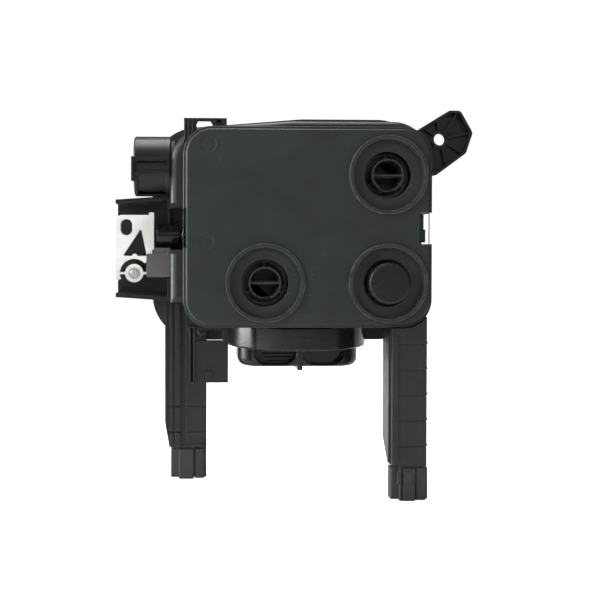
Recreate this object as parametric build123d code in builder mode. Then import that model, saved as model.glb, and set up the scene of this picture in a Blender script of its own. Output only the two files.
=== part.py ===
from build123d import *
from math import atan2, cos, degrees, hypot, radians, sin
import os

# Motorised diverter valve with three front ports, a side inlet and a twist-off service cap.
# +Z is up, -Y is the front that the ports face. The origin is on the lid's flat front face,
# on the axis of the selector spindle, which is also the centre of the port rectangle.

# ---- Driving dimensions, in millimetres ----
WALL = 2.5
GAP = 0.3
GASKET_GAP = 0.4

LID_SIZE = (150.0, 121.0)
LID_CENTRE = (-11.0, 1.0)
LID_RADIUS = 17.0
LID_THICK = 3.0
LID_DEPTH = 9.0
LIP_WIDTH = 1.6
LIP_SET = 1.8

BODY_STEP_Y = 22.0
BODY_BACK_Y = 62.0
BODY_GROW = 8.5
STAGE_TOP_Z = 68.0
STEP_FILLET = 4.5
STAGE_BOTTOM_Z = -59.4
STAGE_RIGHT_X = 68.5
CASING_SIZE = (180.0, 147.0)
CASING_CENTRE = (-17.5, 1.0)
CASING_RADIUS = 30.0
CASING_BACK_Y = 116.0
SHOULDER_DROP = 8.2

PORT_PITCH = (74.0, 65.0)
PORT_BORE_R = 14.2
COLLAR_R = 23.7
COLLAR_WALL = 2.2
COLLAR_RISE = 2.5
COLLAR_SINK = 2.5
GUIDE_R = 9.8
GUIDE_WALL = 1.0
BLANK_R = 12.6

DISC_R = 53.0
DISC_Y = 17.3
DISC_THICK = 4.0
WINDOW_R = 40.0
WINDOW_HALF = 8.5
SPINDLE_R = 4.0

BACK_PANEL_CENTRE = (-28.0, 30.0)
BACK_PANEL_SIZE = (84.0, 46.0)
BACK_RIBS_TOP_Z = -6.0
RIB_COUNT = 6
RIB_PITCH = 9.0
RIB_LENGTH = 118.0
RIB_RISE = 1.2

CAP_X = -13.7
CAP_Y = 50.0
CAP_R = 45.0
CAP_TOP_Z = -60.6
CAP_RIM_Z = -74.0
CAP_GRIP_Z = -86.1
GRIP_SIZE = (76.5, 52.0)
FIN_WIDTH = 3.2
POCKET_WIDTH = 27.0
POCKET_HEIGHT = 11.2
POCKET_FLOOR_Y = 17.0
NECK_R = 24.0
NECK_WALL = 4.0
NECK_END_Z = -70.4

GEAR_MODULE = 1.0
OUTPUT_TEETH = 50
IDLER_SMALL_TEETH = 14
IDLER_BIG_TEETH = 40
PINION_TEETH = 12
IDLER_ANGLE = 150.0
MOTOR_ANGLE = 180.0
GEAR_Y = 66.0
GEAR_FACE = 6.0
BIG_GEAR_Y = 73.2
BIG_GEAR_FACE = 4.0
GEAR_PLATE_Y = 78.6
MOTOR_R = 12.0
MOTOR_LENGTH = 26.0

INLET_Z = 40.7
INLET_Y = 42.9
INLET_R = 19.1
INLET_BORE_R = 16.0
INLET_END_X = -117.6

CHANNEL_LEFT_X = -130.0
CHANNEL_TOP_Z = 21.5
CHANNEL_BOTTOM_Z = -44.0
CHANNEL_FRONT_Y = 41.0
CHANNEL_BACK_Y = 60.0
PIVOT = (-118.3, -27.7)
LEVER_Y = 44.0
LEVER_THICK = 2.0
PLUNGER_Z = -3.2
PLUNGER_Y = 49.4
PLUNGER_R = 7.2
PLUNGER_END_X = -105.0
PLUNGER_BACK_X = -89.3
ALCOVE_X = -84.9
ALCOVE_Z = (-12.6, 13.8)
NOTCH_X = 56.4
NOTCH_WALL = 2.2
NOTCH_Z = (-9.3, 10.3)

LEG_POCKET_Y = 48.0
LEG_BOTTOM_Z = -164.0
FOOT_TOP_Z = -143.0
RIGHT_LEG_X = (39.5, 60.8)
RIGHT_LEG_DEPTH = 27.0
RIGHT_FOOT_X = (39.2, 62.0)
LEFT_FOOT_X = (-95.2, -71.6)
LEFT_LEG_X = (-99.0, -71.5)
LEFT_LEG_Y = (57.0, 84.0)

ARM_Y = 33.0
ARM_HOLE = (75.8, 57.6)
ARM_BUSH_BORE_R = 3.7
ARM_BUSH_R = 4.5
ARM_BUSH_LENGTH = 3.6

# ---- Positions that follow from them ----
PORT_A = (PORT_PITCH[0] / 2, PORT_PITCH[1] / 2)
PORT_B = (PORT_PITCH[0] / 2, -PORT_PITCH[1] / 2)
PORT_C = (-PORT_PITCH[0] / 2, -PORT_PITCH[1] / 2)
PORTS = [PORT_A, PORT_B, PORT_C]
PORT_CIRCLE_R = hypot(*PORT_A)
BODY_WALL_X = LID_CENTRE[0] - LID_SIZE[0] / 2 - BODY_GROW
LID_BOTTOM_Z = LID_CENTRE[1] - LID_SIZE[1] / 2
LID_RIGHT_X = LID_CENTRE[0] + LID_SIZE[0] / 2
CASING_BOTTOM_Z = CASING_CENTRE[1] - CASING_SIZE[1] / 2

OUTPUT_R = OUTPUT_TEETH * GEAR_MODULE / 2
IDLER_SMALL_R = IDLER_SMALL_TEETH * GEAR_MODULE / 2
IDLER_BIG_R = IDLER_BIG_TEETH * GEAR_MODULE / 2
PINION_R = PINION_TEETH * GEAR_MODULE / 2
IDLER_REACH = OUTPUT_R + IDLER_SMALL_R
IDLER = (IDLER_REACH * cos(radians(IDLER_ANGLE)), IDLER_REACH * sin(radians(IDLER_ANGLE)))
MOTOR_REACH = IDLER_BIG_R + PINION_R
MOTOR = (
    IDLER[0] + MOTOR_REACH * cos(radians(MOTOR_ANGLE)),
    IDLER[1] + MOTOR_REACH * sin(radians(MOTOR_ANGLE)),
)

os.makedirs("parts", exist_ok=True)


def save(builder, label):
    """Label a finished piece and write it under its node name."""
    builder.part.label = label
    export_step(builder.part, f"parts/{label}.step")


def front(y):
    """Plane facing the front at depth y: local x is +X, local y is +Z, and it extrudes towards -Y."""
    return Plane.XZ.offset(-y)


def rounded(centre, size, radius, y):
    """Rounded rectangle at depth y."""
    with BuildSketch(front(y)) as outline:
        with Locations(centre):
            RectangleRounded(size[0], size[1], radius)
    return outline.sketch


def grown(size, amount):
    """A rectangle's size after every edge has moved out by amount."""
    return (size[0] + 2 * amount, size[1] + 2 * amount)


def disc(centre, radius, y):
    """Round face at depth y."""
    with BuildSketch(front(y)) as outline:
        with Locations(centre):
            Circle(radius)
    return outline.sketch


def ring(centre, outer, inner, y):
    """Flat ring at depth y."""
    with BuildSketch(front(y)) as outline:
        with Locations(centre):
            Circle(outer)
            Circle(inner, mode=Mode.SUBTRACT)
    return outline.sketch


def gear_face(centre, teeth, start_angle, y):
    """Spur gear face with straight-flanked teeth, one of them centred on start_angle."""
    pitch_r = teeth * GEAR_MODULE / 2
    with BuildSketch(front(y)) as face:
        with Locations(centre):
            Circle(pitch_r - 1.2)
            with PolarLocations(pitch_r, teeth, start_angle=start_angle):
                tooth = [(-1.4, -0.8), (0.0, -0.64), (0.8, -0.32), (0.8, 0.32), (0.0, 0.64), (-1.4, 0.8)]
                Polygon(*tooth, align=None)
    return face.sketch


def outline_of(corners, radii, shrink, y):
    """Closed outline with rounded corners at depth y, drawn in by shrink."""
    with BuildSketch(front(y)) as outline:
        with BuildLine():
            FilletPolyline(*corners, radius=radii, close=True)
        make_face()
        if shrink:
            offset(amount=-shrink, mode=Mode.REPLACE)
    return outline.sketch


def casing_outline(shrink, y):
    """Rear casing's outline. Its top slopes down to the left shoulder."""
    left = CASING_CENTRE[0] - CASING_SIZE[0] / 2
    right = CASING_CENTRE[0] + CASING_SIZE[0] / 2
    top = CASING_CENTRE[1] + CASING_SIZE[1] / 2
    low_corners = [(left, CASING_BOTTOM_Z), (right, CASING_BOTTOM_Z)]
    high_corners = [(right, top), (-9.0, top), (left, top - SHOULDER_DROP)]
    radii = (CASING_RADIUS, CASING_RADIUS, CASING_RADIUS, 60.0, CASING_RADIUS)
    return outline_of(low_corners + high_corners, radii, shrink, y)


def stage_outline(shrink, y):
    """Valve body's rear outline, with its lower left corner cut away for the left leg."""
    corner = (LEFT_LEG_X[1] + GAP, CHANNEL_BOTTOM_Z - 1.7)
    corners = [
        (corner[0], STAGE_BOTTOM_Z), (STAGE_RIGHT_X, STAGE_BOTTOM_Z), (STAGE_RIGHT_X, STAGE_TOP_Z),
        (-20.0, STAGE_TOP_Z), (BODY_WALL_X, STAGE_TOP_Z - 5.6), (BODY_WALL_X, corner[1]), corner,
    ]
    return outline_of(corners, (0.5, 23.0, 23.0, 60.0, 23.0, 0.5, 0.5), shrink, y)


# ======== Front lid and the ports ========
# The lid is a shallow tray, open to the back. Each port has a raised collar round a sunk annulus.
with BuildPart() as front_lid:
    extrude(rounded(LID_CENTRE, LID_SIZE, LID_RADIUS, LID_DEPTH), amount=LID_DEPTH - LIP_SET)
    fillet(front_lid.faces().sort_by(Axis.Y)[0].edges(), radius=0.5)
    panel = rounded(LID_CENTRE, grown(LID_SIZE, -LIP_WIDTH), LID_RADIUS - LIP_WIDTH, LIP_SET + 0.2)
    extrude(panel, amount=LIP_SET + 0.2)
    fillet(front_lid.faces().sort_by(Axis.Y)[0].edges(), radius=1.3)
    lid_inside = rounded(LID_CENTRE, grown(LID_SIZE, -WALL), LID_RADIUS - WALL, LID_DEPTH)
    extrude(lid_inside, amount=LID_DEPTH - LID_THICK, mode=Mode.SUBTRACT)
    for port in PORTS:
        extrude(disc(port, COLLAR_R, LID_THICK + COLLAR_SINK), amount=LID_THICK + COLLAR_SINK + COLLAR_RISE)
        annulus = disc(port, COLLAR_R - COLLAR_WALL, COLLAR_SINK)
        extrude(annulus, amount=COLLAR_SINK + COLLAR_RISE, mode=Mode.SUBTRACT)
        extrude(disc(port, PORT_BORE_R, LID_DEPTH), amount=LID_DEPTH, mode=Mode.SUBTRACT)
    # Two ejector pins leave shallow round marks.
    for mark in ((-71.2, 50.6), (-72.7, -7.6)):
        extrude(disc(mark, 4.8, 0.25), amount=1.0, mode=Mode.SUBTRACT)
    # The left and right edges are notched for the lever channel and the side latch.
    with Locations((LID_CENTRE[0] - LID_SIZE[0] / 2, LID_DEPTH / 2, 0.5)):
        Box(4.0, LID_DEPTH + 1, 24.0, mode=Mode.SUBTRACT)
    with Locations((LID_CENTRE[0] + LID_SIZE[0] / 2, LID_DEPTH / 2, 0.5)):
        Box(16.0, LID_DEPTH + 1, 19.0, mode=Mode.SUBTRACT)
save(front_lid, "front_lid")

# The lid's two notches are closed behind by cheeks, so that the lid still seals on its gasket.
with BuildPart() as lid_cheeks:
    cheek_depth = LID_DEPTH - LID_THICK - 1.2
    cheek_y = LID_THICK + 0.2 + cheek_depth / 2
    with Locations((LID_CENTRE[0] - LID_SIZE[0] / 2 + 1.5 * WALL + 0.1, cheek_y, 0.5)):
        Box(WALL, cheek_depth, 27.0)
    with Locations((LID_RIGHT_X - 8.0 - WALL / 2 - 0.1, cheek_y, 0.5)):
        Box(WALL, cheek_depth, 22.0)
save(lid_cheeks, "lid_cheeks")

# Each port guide is a thin split ring with a cross web, held by a flange behind the lid.
for name, port in zip("abc", PORTS):
    with BuildPart() as port_guide:
        extrude(ring(port, PORT_BORE_R - 0.2, PORT_BORE_R - 2.0, 12.6), amount=3.0)
        extrude(ring(port, GUIDE_R, GUIDE_R - GUIDE_WALL, 12.6), amount=12.6 - 1.0)
        with BuildSketch(front(12.6)):
            with Locations(port):
                Rectangle(2 * GUIDE_R - 1.0, 2.2)
                with PolarLocations(0, 3, start_angle=90):
                    with Locations((PORT_BORE_R - 3.4, 0)):
                        Rectangle(5.0, 1.6)
        extrude(amount=3.0)
        with BuildSketch(front(12.6)):
            with Locations(port):
                Rectangle(2 * GUIDE_R - 1.0, 1.2)
        extrude(amount=9.0)
        with BuildSketch(front(7.0)):
            with Locations(port):
                with Locations((-0.9, -GUIDE_R)):
                    Rectangle(8.8, 7.0)
        extrude(amount=8.0, mode=Mode.SUBTRACT)
    save(port_guide, f"port_guide_{name}")

with BuildPart() as port_seals:
    for port in PORTS:
        with BuildSketch(Plane((port[0], 0, port[1]), x_dir=(1, 0, 0), z_dir=(0, 0, 1))):
            with Locations((COLLAR_R - 5.0, 7.0)):
                Circle(1.35)
        revolve(axis=Axis((port[0], 0, port[1]), (0, 1, 0)))
save(port_seals, "port_seals")

# The blanking cap is a shallow cup pushed over the lower right guide.
with BuildPart() as blanking_cap:
    extrude(disc(PORT_B, BLANK_R, COLLAR_SINK - GAP), amount=COLLAR_SINK - GAP + 6.5)
    fillet(blanking_cap.faces().sort_by(Axis.Y)[0].edges(), radius=1.8)
    extrude(disc(PORT_B, GUIDE_R + 0.08, COLLAR_SINK), amount=COLLAR_SINK + 4.0, mode=Mode.SUBTRACT)
save(blanking_cap, "blanking_cap")

# ======== Valve body ========
# A front chamber of the lid's outline steps out to a wider rear stage. The strainer well hangs
# through its floor, and its rear half bulges behind the back wall under a closed roof.
with BuildPart() as valve_body:
    front_y = LID_DEPTH + GAP
    chamber_back = BODY_BACK_Y - WALL
    extrude(stage_outline(0, BODY_BACK_Y), amount=BODY_BACK_Y - BODY_STEP_Y)
    step_edges = valve_body.faces().sort_by(Axis.Y)[0].edges()
    fillet([edge for edge in step_edges if edge.center().Z > CHANNEL_BOTTOM_Z + 1], radius=STEP_FILLET)
    extrude(rounded(LID_CENTRE, LID_SIZE, LID_RADIUS, LEG_POCKET_Y), amount=LEG_POCKET_Y - front_y)
    shallow_back = LEG_POCKET_Y - WALL
    inner_size = grown(LID_SIZE, -WALL)
    hollow = rounded(LID_CENTRE, inner_size, LID_RADIUS - WALL, shallow_back)
    extrude(hollow, amount=shallow_back - front_y, mode=Mode.SUBTRACT)
    extrude(stage_outline(WALL, chamber_back), amount=chamber_back - BODY_STEP_Y - WALL, mode=Mode.SUBTRACT)
    # Alcove in the left side, where the plunger's drum slides.
    alcove_z = sum(ALCOVE_Z) / 2
    alcove_height = ALCOVE_Z[1] - ALCOVE_Z[0]
    with Locations(((BODY_WALL_X + ALCOVE_X + WALL) / 2, (BODY_STEP_Y + BODY_BACK_Y) / 2, alcove_z)):
        Box(ALCOVE_X + WALL - BODY_WALL_X, BODY_BACK_Y - BODY_STEP_Y, alcove_height + 2 * WALL)
    with Locations((ALCOVE_X - 10.0, chamber_back / 2, alcove_z)):
        Box(20.0, chamber_back, alcove_height, mode=Mode.SUBTRACT)
    # Notch in the right side, behind the lid's own notch.
    notch_z = sum(NOTCH_Z) / 2
    notch_height = NOTCH_Z[1] - NOTCH_Z[0]
    with Locations(((NOTCH_X - NOTCH_WALL + LID_RIGHT_X) / 2, (front_y + BODY_BACK_Y) / 2, notch_z)):
        Box(LID_RIGHT_X - NOTCH_X + NOTCH_WALL, BODY_BACK_Y - front_y, notch_height + 2 * NOTCH_WALL)
    with Locations((NOTCH_X + 10.0, chamber_back / 2, notch_z)):
        Box(20.0, chamber_back, notch_height, mode=Mode.SUBTRACT)
    # Recess for the service cap's skirt, closed above by a round floor.
    with BuildSketch(Plane.XY.offset(-80)):
        with Locations((CAP_X, CAP_Y)):
            Circle(CAP_R + 1.3)
    extrude(amount=80 + CAP_TOP_Z + 0.3, mode=Mode.SUBTRACT)
    with BuildSketch(Plane.XY.offset(CAP_TOP_Z + 0.3)):
        with Locations((CAP_X, CAP_Y)):
            Circle(CAP_R + 3.8)
        with Locations((CAP_X, -60 + front_y)):
            Rectangle(200, 120, mode=Mode.SUBTRACT)
    extrude(amount=WALL)
    # Strainer well and neck.
    with BuildSketch(Plane.XY.offset(NECK_END_Z)):
        with Locations((CAP_X, CAP_Y)):
            Circle(NECK_R + NECK_WALL)
        with Locations((CAP_X, -60 + front_y)):
            Rectangle(200, 120, mode=Mode.SUBTRACT)
    extrude(amount=CAP_TOP_Z + 0.3 - NECK_END_Z)
    with BuildSketch(Plane.XY.offset(CAP_TOP_Z)):
        with Locations((CAP_X, CAP_Y)):
            Circle(NECK_R + NECK_WALL)
        with Locations((CAP_X, BODY_BACK_Y - 60 - WALL)):
            Rectangle(200, 120, mode=Mode.SUBTRACT)
    extrude(amount=22)
    with BuildSketch(Plane.XY.offset(NECK_END_Z)):
        with Locations((CAP_X, CAP_Y)):
            Circle(NECK_R)
    extrude(amount=CAP_TOP_Z + 20 - NECK_END_Z, mode=Mode.SUBTRACT)
    # Spindle boss on the back wall, and the inlet and plunger bosses on the left wall.
    extrude(disc((0, 0), 12.0, BODY_BACK_Y), amount=12.0)
    extrude(disc((0, 0), 7.1, BODY_BACK_Y + 1), amount=20.0, mode=Mode.SUBTRACT)
    extrude(disc(IDLER, 1.5, BODY_BACK_Y + 1), amount=WALL - 0.5, mode=Mode.SUBTRACT)
    with BuildSketch(Plane.YZ.offset(BODY_WALL_X - 1)):
        with Locations((INLET_Y, INLET_Z)):
            Circle(INLET_BORE_R + 0.6)
    extrude(amount=6.0, mode=Mode.SUBTRACT)
    with BuildSketch(Plane.YZ.offset(ALCOVE_X)):
        with Locations((PLUNGER_Y, PLUNGER_Z)):
            Circle(9.0)
    extrude(amount=9.5)
    with BuildSketch(Plane.YZ.offset(ALCOVE_X - 1)):
        with Locations((PLUNGER_Y, PLUNGER_Z)):
            Circle(5.0)
    extrude(amount=14.0, mode=Mode.SUBTRACT)
save(valve_body, "valve_body")


def notched(shrink, y):
    """The chamber's inside at depth y, drawn in by shrink and stepping round the right notch."""
    with BuildSketch(front(y)) as outline:
        with Locations(LID_CENTRE):
            RectangleRounded(*grown(LID_SIZE, -WALL - shrink), LID_RADIUS - WALL - shrink)
        with Locations((NOTCH_X - NOTCH_WALL - shrink + 15.0, notch_z)):
            Rectangle(30.0, notch_height + 2 * (NOTCH_WALL + shrink), mode=Mode.SUBTRACT)
    return outline.sketch


with BuildPart() as lid_gasket:
    extrude(notched(GASKET_GAP, LID_DEPTH + 2.0), amount=2.4)
    extrude(notched(GASKET_GAP + 1.6, LID_DEPTH + 3.0), amount=4.4, mode=Mode.SUBTRACT)
save(lid_gasket, "lid_gasket")

# The port plate takes each port inwards to the smaller circle that the selector disc sweeps.
with BuildPart() as port_plate:
    plate_back = DISC_Y - GAP
    extrude(notched(GASKET_GAP, plate_back), amount=plate_back - 12.9)
    for port in PORTS:
        extrude(ring(port, COLLAR_R - 2.5, COLLAR_R - 7.5, 13.0), amount=4.6)
    for port in PORTS:
        port_angle = degrees(atan2(port[1], port[0]))
        with BuildSketch(front(plate_back)):
            with Locations(Location((0, 0), port_angle)):
                with Locations(((WINDOW_R + PORT_CIRCLE_R) / 2, 0)):
                    SlotOverall(PORT_CIRCLE_R - WINDOW_R + 2 * WINDOW_HALF, 2 * WINDOW_HALF)
        extrude(amount=10.0, mode=Mode.SUBTRACT)
    extrude(disc((0, 0), SPINDLE_R + 0.06, plate_back), amount=10.0, mode=Mode.SUBTRACT)
save(port_plate, "port_plate")

# ======== Selector rotor ========
with BuildPart() as selector_disc:
    extrude(disc((0, 0), DISC_R, DISC_Y + DISC_THICK), amount=DISC_THICK)
    extrude(disc((0, 0), 10.0, DISC_Y + DISC_THICK + 8), amount=8.0)
    with BuildSketch(front(DISC_Y + DISC_THICK)):
        with Locations(Location((0, 0), IDLER_ANGLE - 15)):
            with Locations((WINDOW_R, 0)):
                Circle(WINDOW_HALF)
    extrude(amount=DISC_THICK, mode=Mode.SUBTRACT)
    with BuildSketch(front(DISC_Y + DISC_THICK + 3)):
        with PolarLocations((DISC_R + 9) / 2, 6, start_angle=15):
            Rectangle(DISC_R - 14, 1.8)
    extrude(amount=3.0)
    extrude(disc((0, 0), SPINDLE_R, DISC_Y + DISC_THICK + 8), amount=20.0, mode=Mode.SUBTRACT)
save(selector_disc, "selector_disc")

with BuildPart() as spindle:
    extrude(disc((0, 0), SPINDLE_R, GEAR_Y + GEAR_FACE - 0.5), amount=GEAR_Y + GEAR_FACE - 14.0)
    extrude(disc((0, 0), SPINDLE_R + 2.2, 46.0), amount=2.0)
save(spindle, "spindle")

with BuildPart() as spindle_bush:
    extrude(ring((0, 0), 7.1, SPINDLE_R + 0.05, BODY_BACK_Y + 1.5), amount=8.0)
    extrude(ring((0, 0), 9.5, SPINDLE_R + 0.05, BODY_BACK_Y + 1.5), amount=1.2)
save(spindle_bush, "spindle_bush")

with BuildPart() as spindle_seal:
    extrude(ring((0, 0), 7.05, SPINDLE_R + 0.05, 55.2), amount=3.0)
save(spindle_seal, "spindle_seal")

with BuildPart() as output_gear:
    extrude(gear_face((0, 0), OUTPUT_TEETH, IDLER_ANGLE, GEAR_Y + GEAR_FACE), amount=GEAR_FACE)
    extrude(ring((0, 0), 21.0, 9.0, GEAR_Y + GEAR_FACE), amount=1.6, mode=Mode.SUBTRACT)
    extrude(disc((0, 0), SPINDLE_R, GEAR_Y + GEAR_FACE), amount=10, mode=Mode.SUBTRACT)
save(output_gear, "output_gear")

# ======== Gear train and motor ========
with BuildPart() as idler_gear:
    small_start = IDLER_ANGLE + 180 + 180 / IDLER_SMALL_TEETH
    extrude(gear_face(IDLER, IDLER_SMALL_TEETH, small_start, BIG_GEAR_Y), amount=BIG_GEAR_Y - GEAR_Y + 0.4)
    extrude(gear_face(IDLER, IDLER_BIG_TEETH, MOTOR_ANGLE, BIG_GEAR_Y + BIG_GEAR_FACE), amount=BIG_GEAR_FACE)
    extrude(disc(IDLER, 1.55, BIG_GEAR_Y + BIG_GEAR_FACE), amount=20, mode=Mode.SUBTRACT)
save(idler_gear, "idler_gear")

with BuildPart() as idler_axle:
    extrude(disc(IDLER, 1.5, GEAR_PLATE_Y + 1.5), amount=GEAR_PLATE_Y + 1.5 - BODY_BACK_Y)
save(idler_axle, "idler_axle")

with BuildPart() as motor_shaft:
    pinion_start = MOTOR_ANGLE + 180 + 180 / PINION_TEETH
    pinion = gear_face(MOTOR, PINION_TEETH, pinion_start, BIG_GEAR_Y + BIG_GEAR_FACE + 0.6)
    extrude(pinion, amount=BIG_GEAR_FACE + 1.2)
    extrude(disc(MOTOR, 1.0, GEAR_PLATE_Y + 1.8 + MOTOR_LENGTH), amount=MOTOR_LENGTH + 3)
save(motor_shaft, "motor_shaft")

plate_centre = (-22.0, 13.0)
with BuildPart() as gear_plate:
    extrude(rounded(plate_centre, (104.0, 62.0), 6.0, GEAR_PLATE_Y + 1.5), amount=1.5)
    extrude(disc(IDLER, 1.5, 90), amount=20, mode=Mode.SUBTRACT)
    extrude(disc(MOTOR, 3.4, 90), amount=20, mode=Mode.SUBTRACT)
    extrude(disc((0, 0), 6.0, 90), amount=20, mode=Mode.SUBTRACT)
    corner_signs = [(-1, -1), (-1, 1), (1, -1), (1, 1)]
    plate_posts = [(plate_centre[0] + dx * 48.0, plate_centre[1] + dz * 27.0) for dx, dz in corner_signs]
    for post in plate_posts:
        extrude(disc(post, 3.0, GEAR_PLATE_Y), amount=GEAR_PLATE_Y - BODY_BACK_Y)
save(gear_plate, "gear_plate")

with BuildPart() as motor_can:
    can_back = GEAR_PLATE_Y + 1.8 + MOTOR_LENGTH
    with BuildSketch(front(can_back)):
        with Locations(MOTOR):
            Circle(MOTOR_R)
            with Locations((0, MOTOR_R), (0, -MOTOR_R)):
                Rectangle(2 * MOTOR_R, 4.0, mode=Mode.SUBTRACT)
    extrude(amount=MOTOR_LENGTH)
    extrude(disc(MOTOR, 3.0, GEAR_PLATE_Y + 1.8), amount=1.6)
    extrude(disc(MOTOR, MOTOR_R - 3.2, can_back - 1.5), amount=MOTOR_LENGTH - 3, mode=Mode.SUBTRACT)
    extrude(disc(MOTOR, 1.05, can_back + 1), amount=40, mode=Mode.SUBTRACT)
save(motor_can, "motor_can")

with BuildPart() as motor_end_cap:
    extrude(disc(MOTOR, MOTOR_R - 1.0, can_back + 2.6), amount=2.3)
    with BuildSketch(front(can_back + 7.0)):
        with Locations(MOTOR):
            with Locations((-6, 0), (6, 0)):
                Rectangle(2.4, 0.6)
    extrude(amount=4.6)
save(motor_end_cap, "motor_end_cap")

# ======== Control board and connector ========
BOARD_CENTRE = (40.0, 14.0)
BOARD_Y = 82.0
with BuildPart() as circuit_board:
    extrude(rounded(BOARD_CENTRE, (46.0, 72.0), 2.0, BOARD_Y + 1.6), amount=1.6)
    with BuildSketch(front(BOARD_Y)):
        with Locations(BOARD_CENTRE):
            with Locations((0, 8)):
                Rectangle(10, 10)
            with Locations((12, 22), (-12, -14)):
                Rectangle(6, 4)
            with Locations((-12, 24), (8, -22)):
                Circle(3.5)
    extrude(amount=1.4)
save(circuit_board, "circuit_board")

with BuildPart() as limit_switches:
    for x, z in ((26.5, -24.0), (30.0, 26.0)):
        with Locations((x, 70.5, z)):
            Box(8.0, 16.0, 6.0)
            with Locations((-3.0, 0, 3.6)):
                Box(1.4, 3.0, 1.4)
save(limit_switches, "limit_switches")

CONNECTOR = (44.0, 20.0)
with BuildPart() as connector_shroud:
    extrude(rounded(CONNECTOR, (26.0, 13.0), 2.0, CASING_BACK_Y + 9), amount=26.0)
    extrude(rounded(CONNECTOR, (22.8, 9.8), 1.2, CASING_BACK_Y + 9), amount=22.0, mode=Mode.SUBTRACT)
    with BuildSketch(front(CASING_BACK_Y + 9)):
        with Locations(CONNECTOR):
            with GridLocations(4.4, 4.0, 4, 2):
                Rectangle(0.7, 0.7)
    extrude(amount=26.0, mode=Mode.SUBTRACT)
save(connector_shroud, "connector_shroud")

with BuildPart() as connector_pins:
    with BuildSketch(front(CASING_BACK_Y + 3)):
        with Locations(CONNECTOR):
            with GridLocations(4.4, 4.0, 4, 2):
                Rectangle(0.64, 0.64)
    extrude(amount=CASING_BACK_Y + 3 - BOARD_Y - 1.6)
save(connector_pins, "connector_pins")

# ======== Rear casing ========
with BuildPart() as rear_casing:
    casing_front = BODY_BACK_Y + GAP
    extrude(casing_outline(0, CASING_BACK_Y), amount=CASING_BACK_Y - casing_front)
    fillet(rear_casing.faces().sort_by(Axis.Y)[-1].edges(), radius=8.0)
    casing_depth = CASING_BACK_Y - WALL - casing_front
    extrude(casing_outline(WALL, CASING_BACK_Y - WALL), amount=casing_depth, mode=Mode.SUBTRACT)
    # The front flange laps the valve body's back wall.
    extrude(casing_outline(1.0, casing_front + WALL), amount=WALL)
    extrude(casing_outline(13.0, casing_front + WALL), amount=WALL, mode=Mode.SUBTRACT)
    # Round recess for the service cap's skirt.
    with BuildSketch(Plane.XY.offset(CASING_BOTTOM_Z)):
        with Locations((CAP_X, CAP_Y)):
            Circle(CAP_R + 3.8)
        with Locations((CAP_X, casing_front - 60)):
            Rectangle(200, 120, mode=Mode.SUBTRACT)
    extrude(amount=CAP_TOP_Z - CASING_BOTTOM_Z)
    with BuildSketch(Plane.XY.offset(CASING_BOTTOM_Z - 1)):
        with Locations((CAP_X, CAP_Y)):
            Circle(CAP_R + 1.3)
    extrude(amount=CAP_TOP_Z - CASING_BOTTOM_Z + 2, mode=Mode.SUBTRACT)
    with BuildSketch(Plane.XY.offset(CAP_TOP_Z)):
        with Locations((CAP_X, CAP_Y)):
            Circle(CAP_R + 4.2)
    extrude(amount=3.4, mode=Mode.SUBTRACT)
    extrude(rounded(CONNECTOR, (26.6, 13.6), 2.2, CASING_BACK_Y + 5), amount=12.0, mode=Mode.SUBTRACT)
    # The back has a sunk panel above and stiffening ribs below.
    back_panel = rounded(BACK_PANEL_CENTRE, BACK_PANEL_SIZE, 5.0, CASING_BACK_Y + 1)
    extrude(back_panel, amount=1.8, mode=Mode.SUBTRACT)
    with BuildSketch(front(CASING_BACK_Y + RIB_RISE)):
        for rib in range(RIB_COUNT):
            with Locations((CASING_CENTRE[0], BACK_RIBS_TOP_Z - rib * RIB_PITCH)):
                SlotOverall(RIB_LENGTH - rib * 6.0, 2.0)
    extrude(amount=RIB_RISE + 0.5)
    # Six screw bosses inside the back wall, each with its screw hole.
    boss_points = [(CASING_CENTRE[0] + dx, CASING_CENTRE[1] + dz) for dx in (-72, 72) for dz in (-40, 0, 48)]
    for boss in boss_points:
        extrude(disc(boss, 4.0, CASING_BACK_Y - 1), amount=30.0)
        extrude(disc(boss, 3.6, CASING_BACK_Y + 1), amount=5.0, mode=Mode.SUBTRACT)
        extrude(disc(boss, 1.8, CASING_BACK_Y), amount=33.0, mode=Mode.SUBTRACT)
save(rear_casing, "rear_casing")

with BuildPart() as casing_screws:
    for boss in boss_points:
        extrude(disc(boss, 3.4, CASING_BACK_Y - 0.8), amount=2.8)
        extrude(disc(boss, 1.7, CASING_BACK_Y - 3), amount=24.0)
        with BuildSketch(front(CASING_BACK_Y - 0.8)):
            with Locations(boss):
                Rectangle(3.6, 0.9)
                Rectangle(0.9, 3.6)
        extrude(amount=1.2, mode=Mode.SUBTRACT)
save(casing_screws, "casing_screws")

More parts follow.
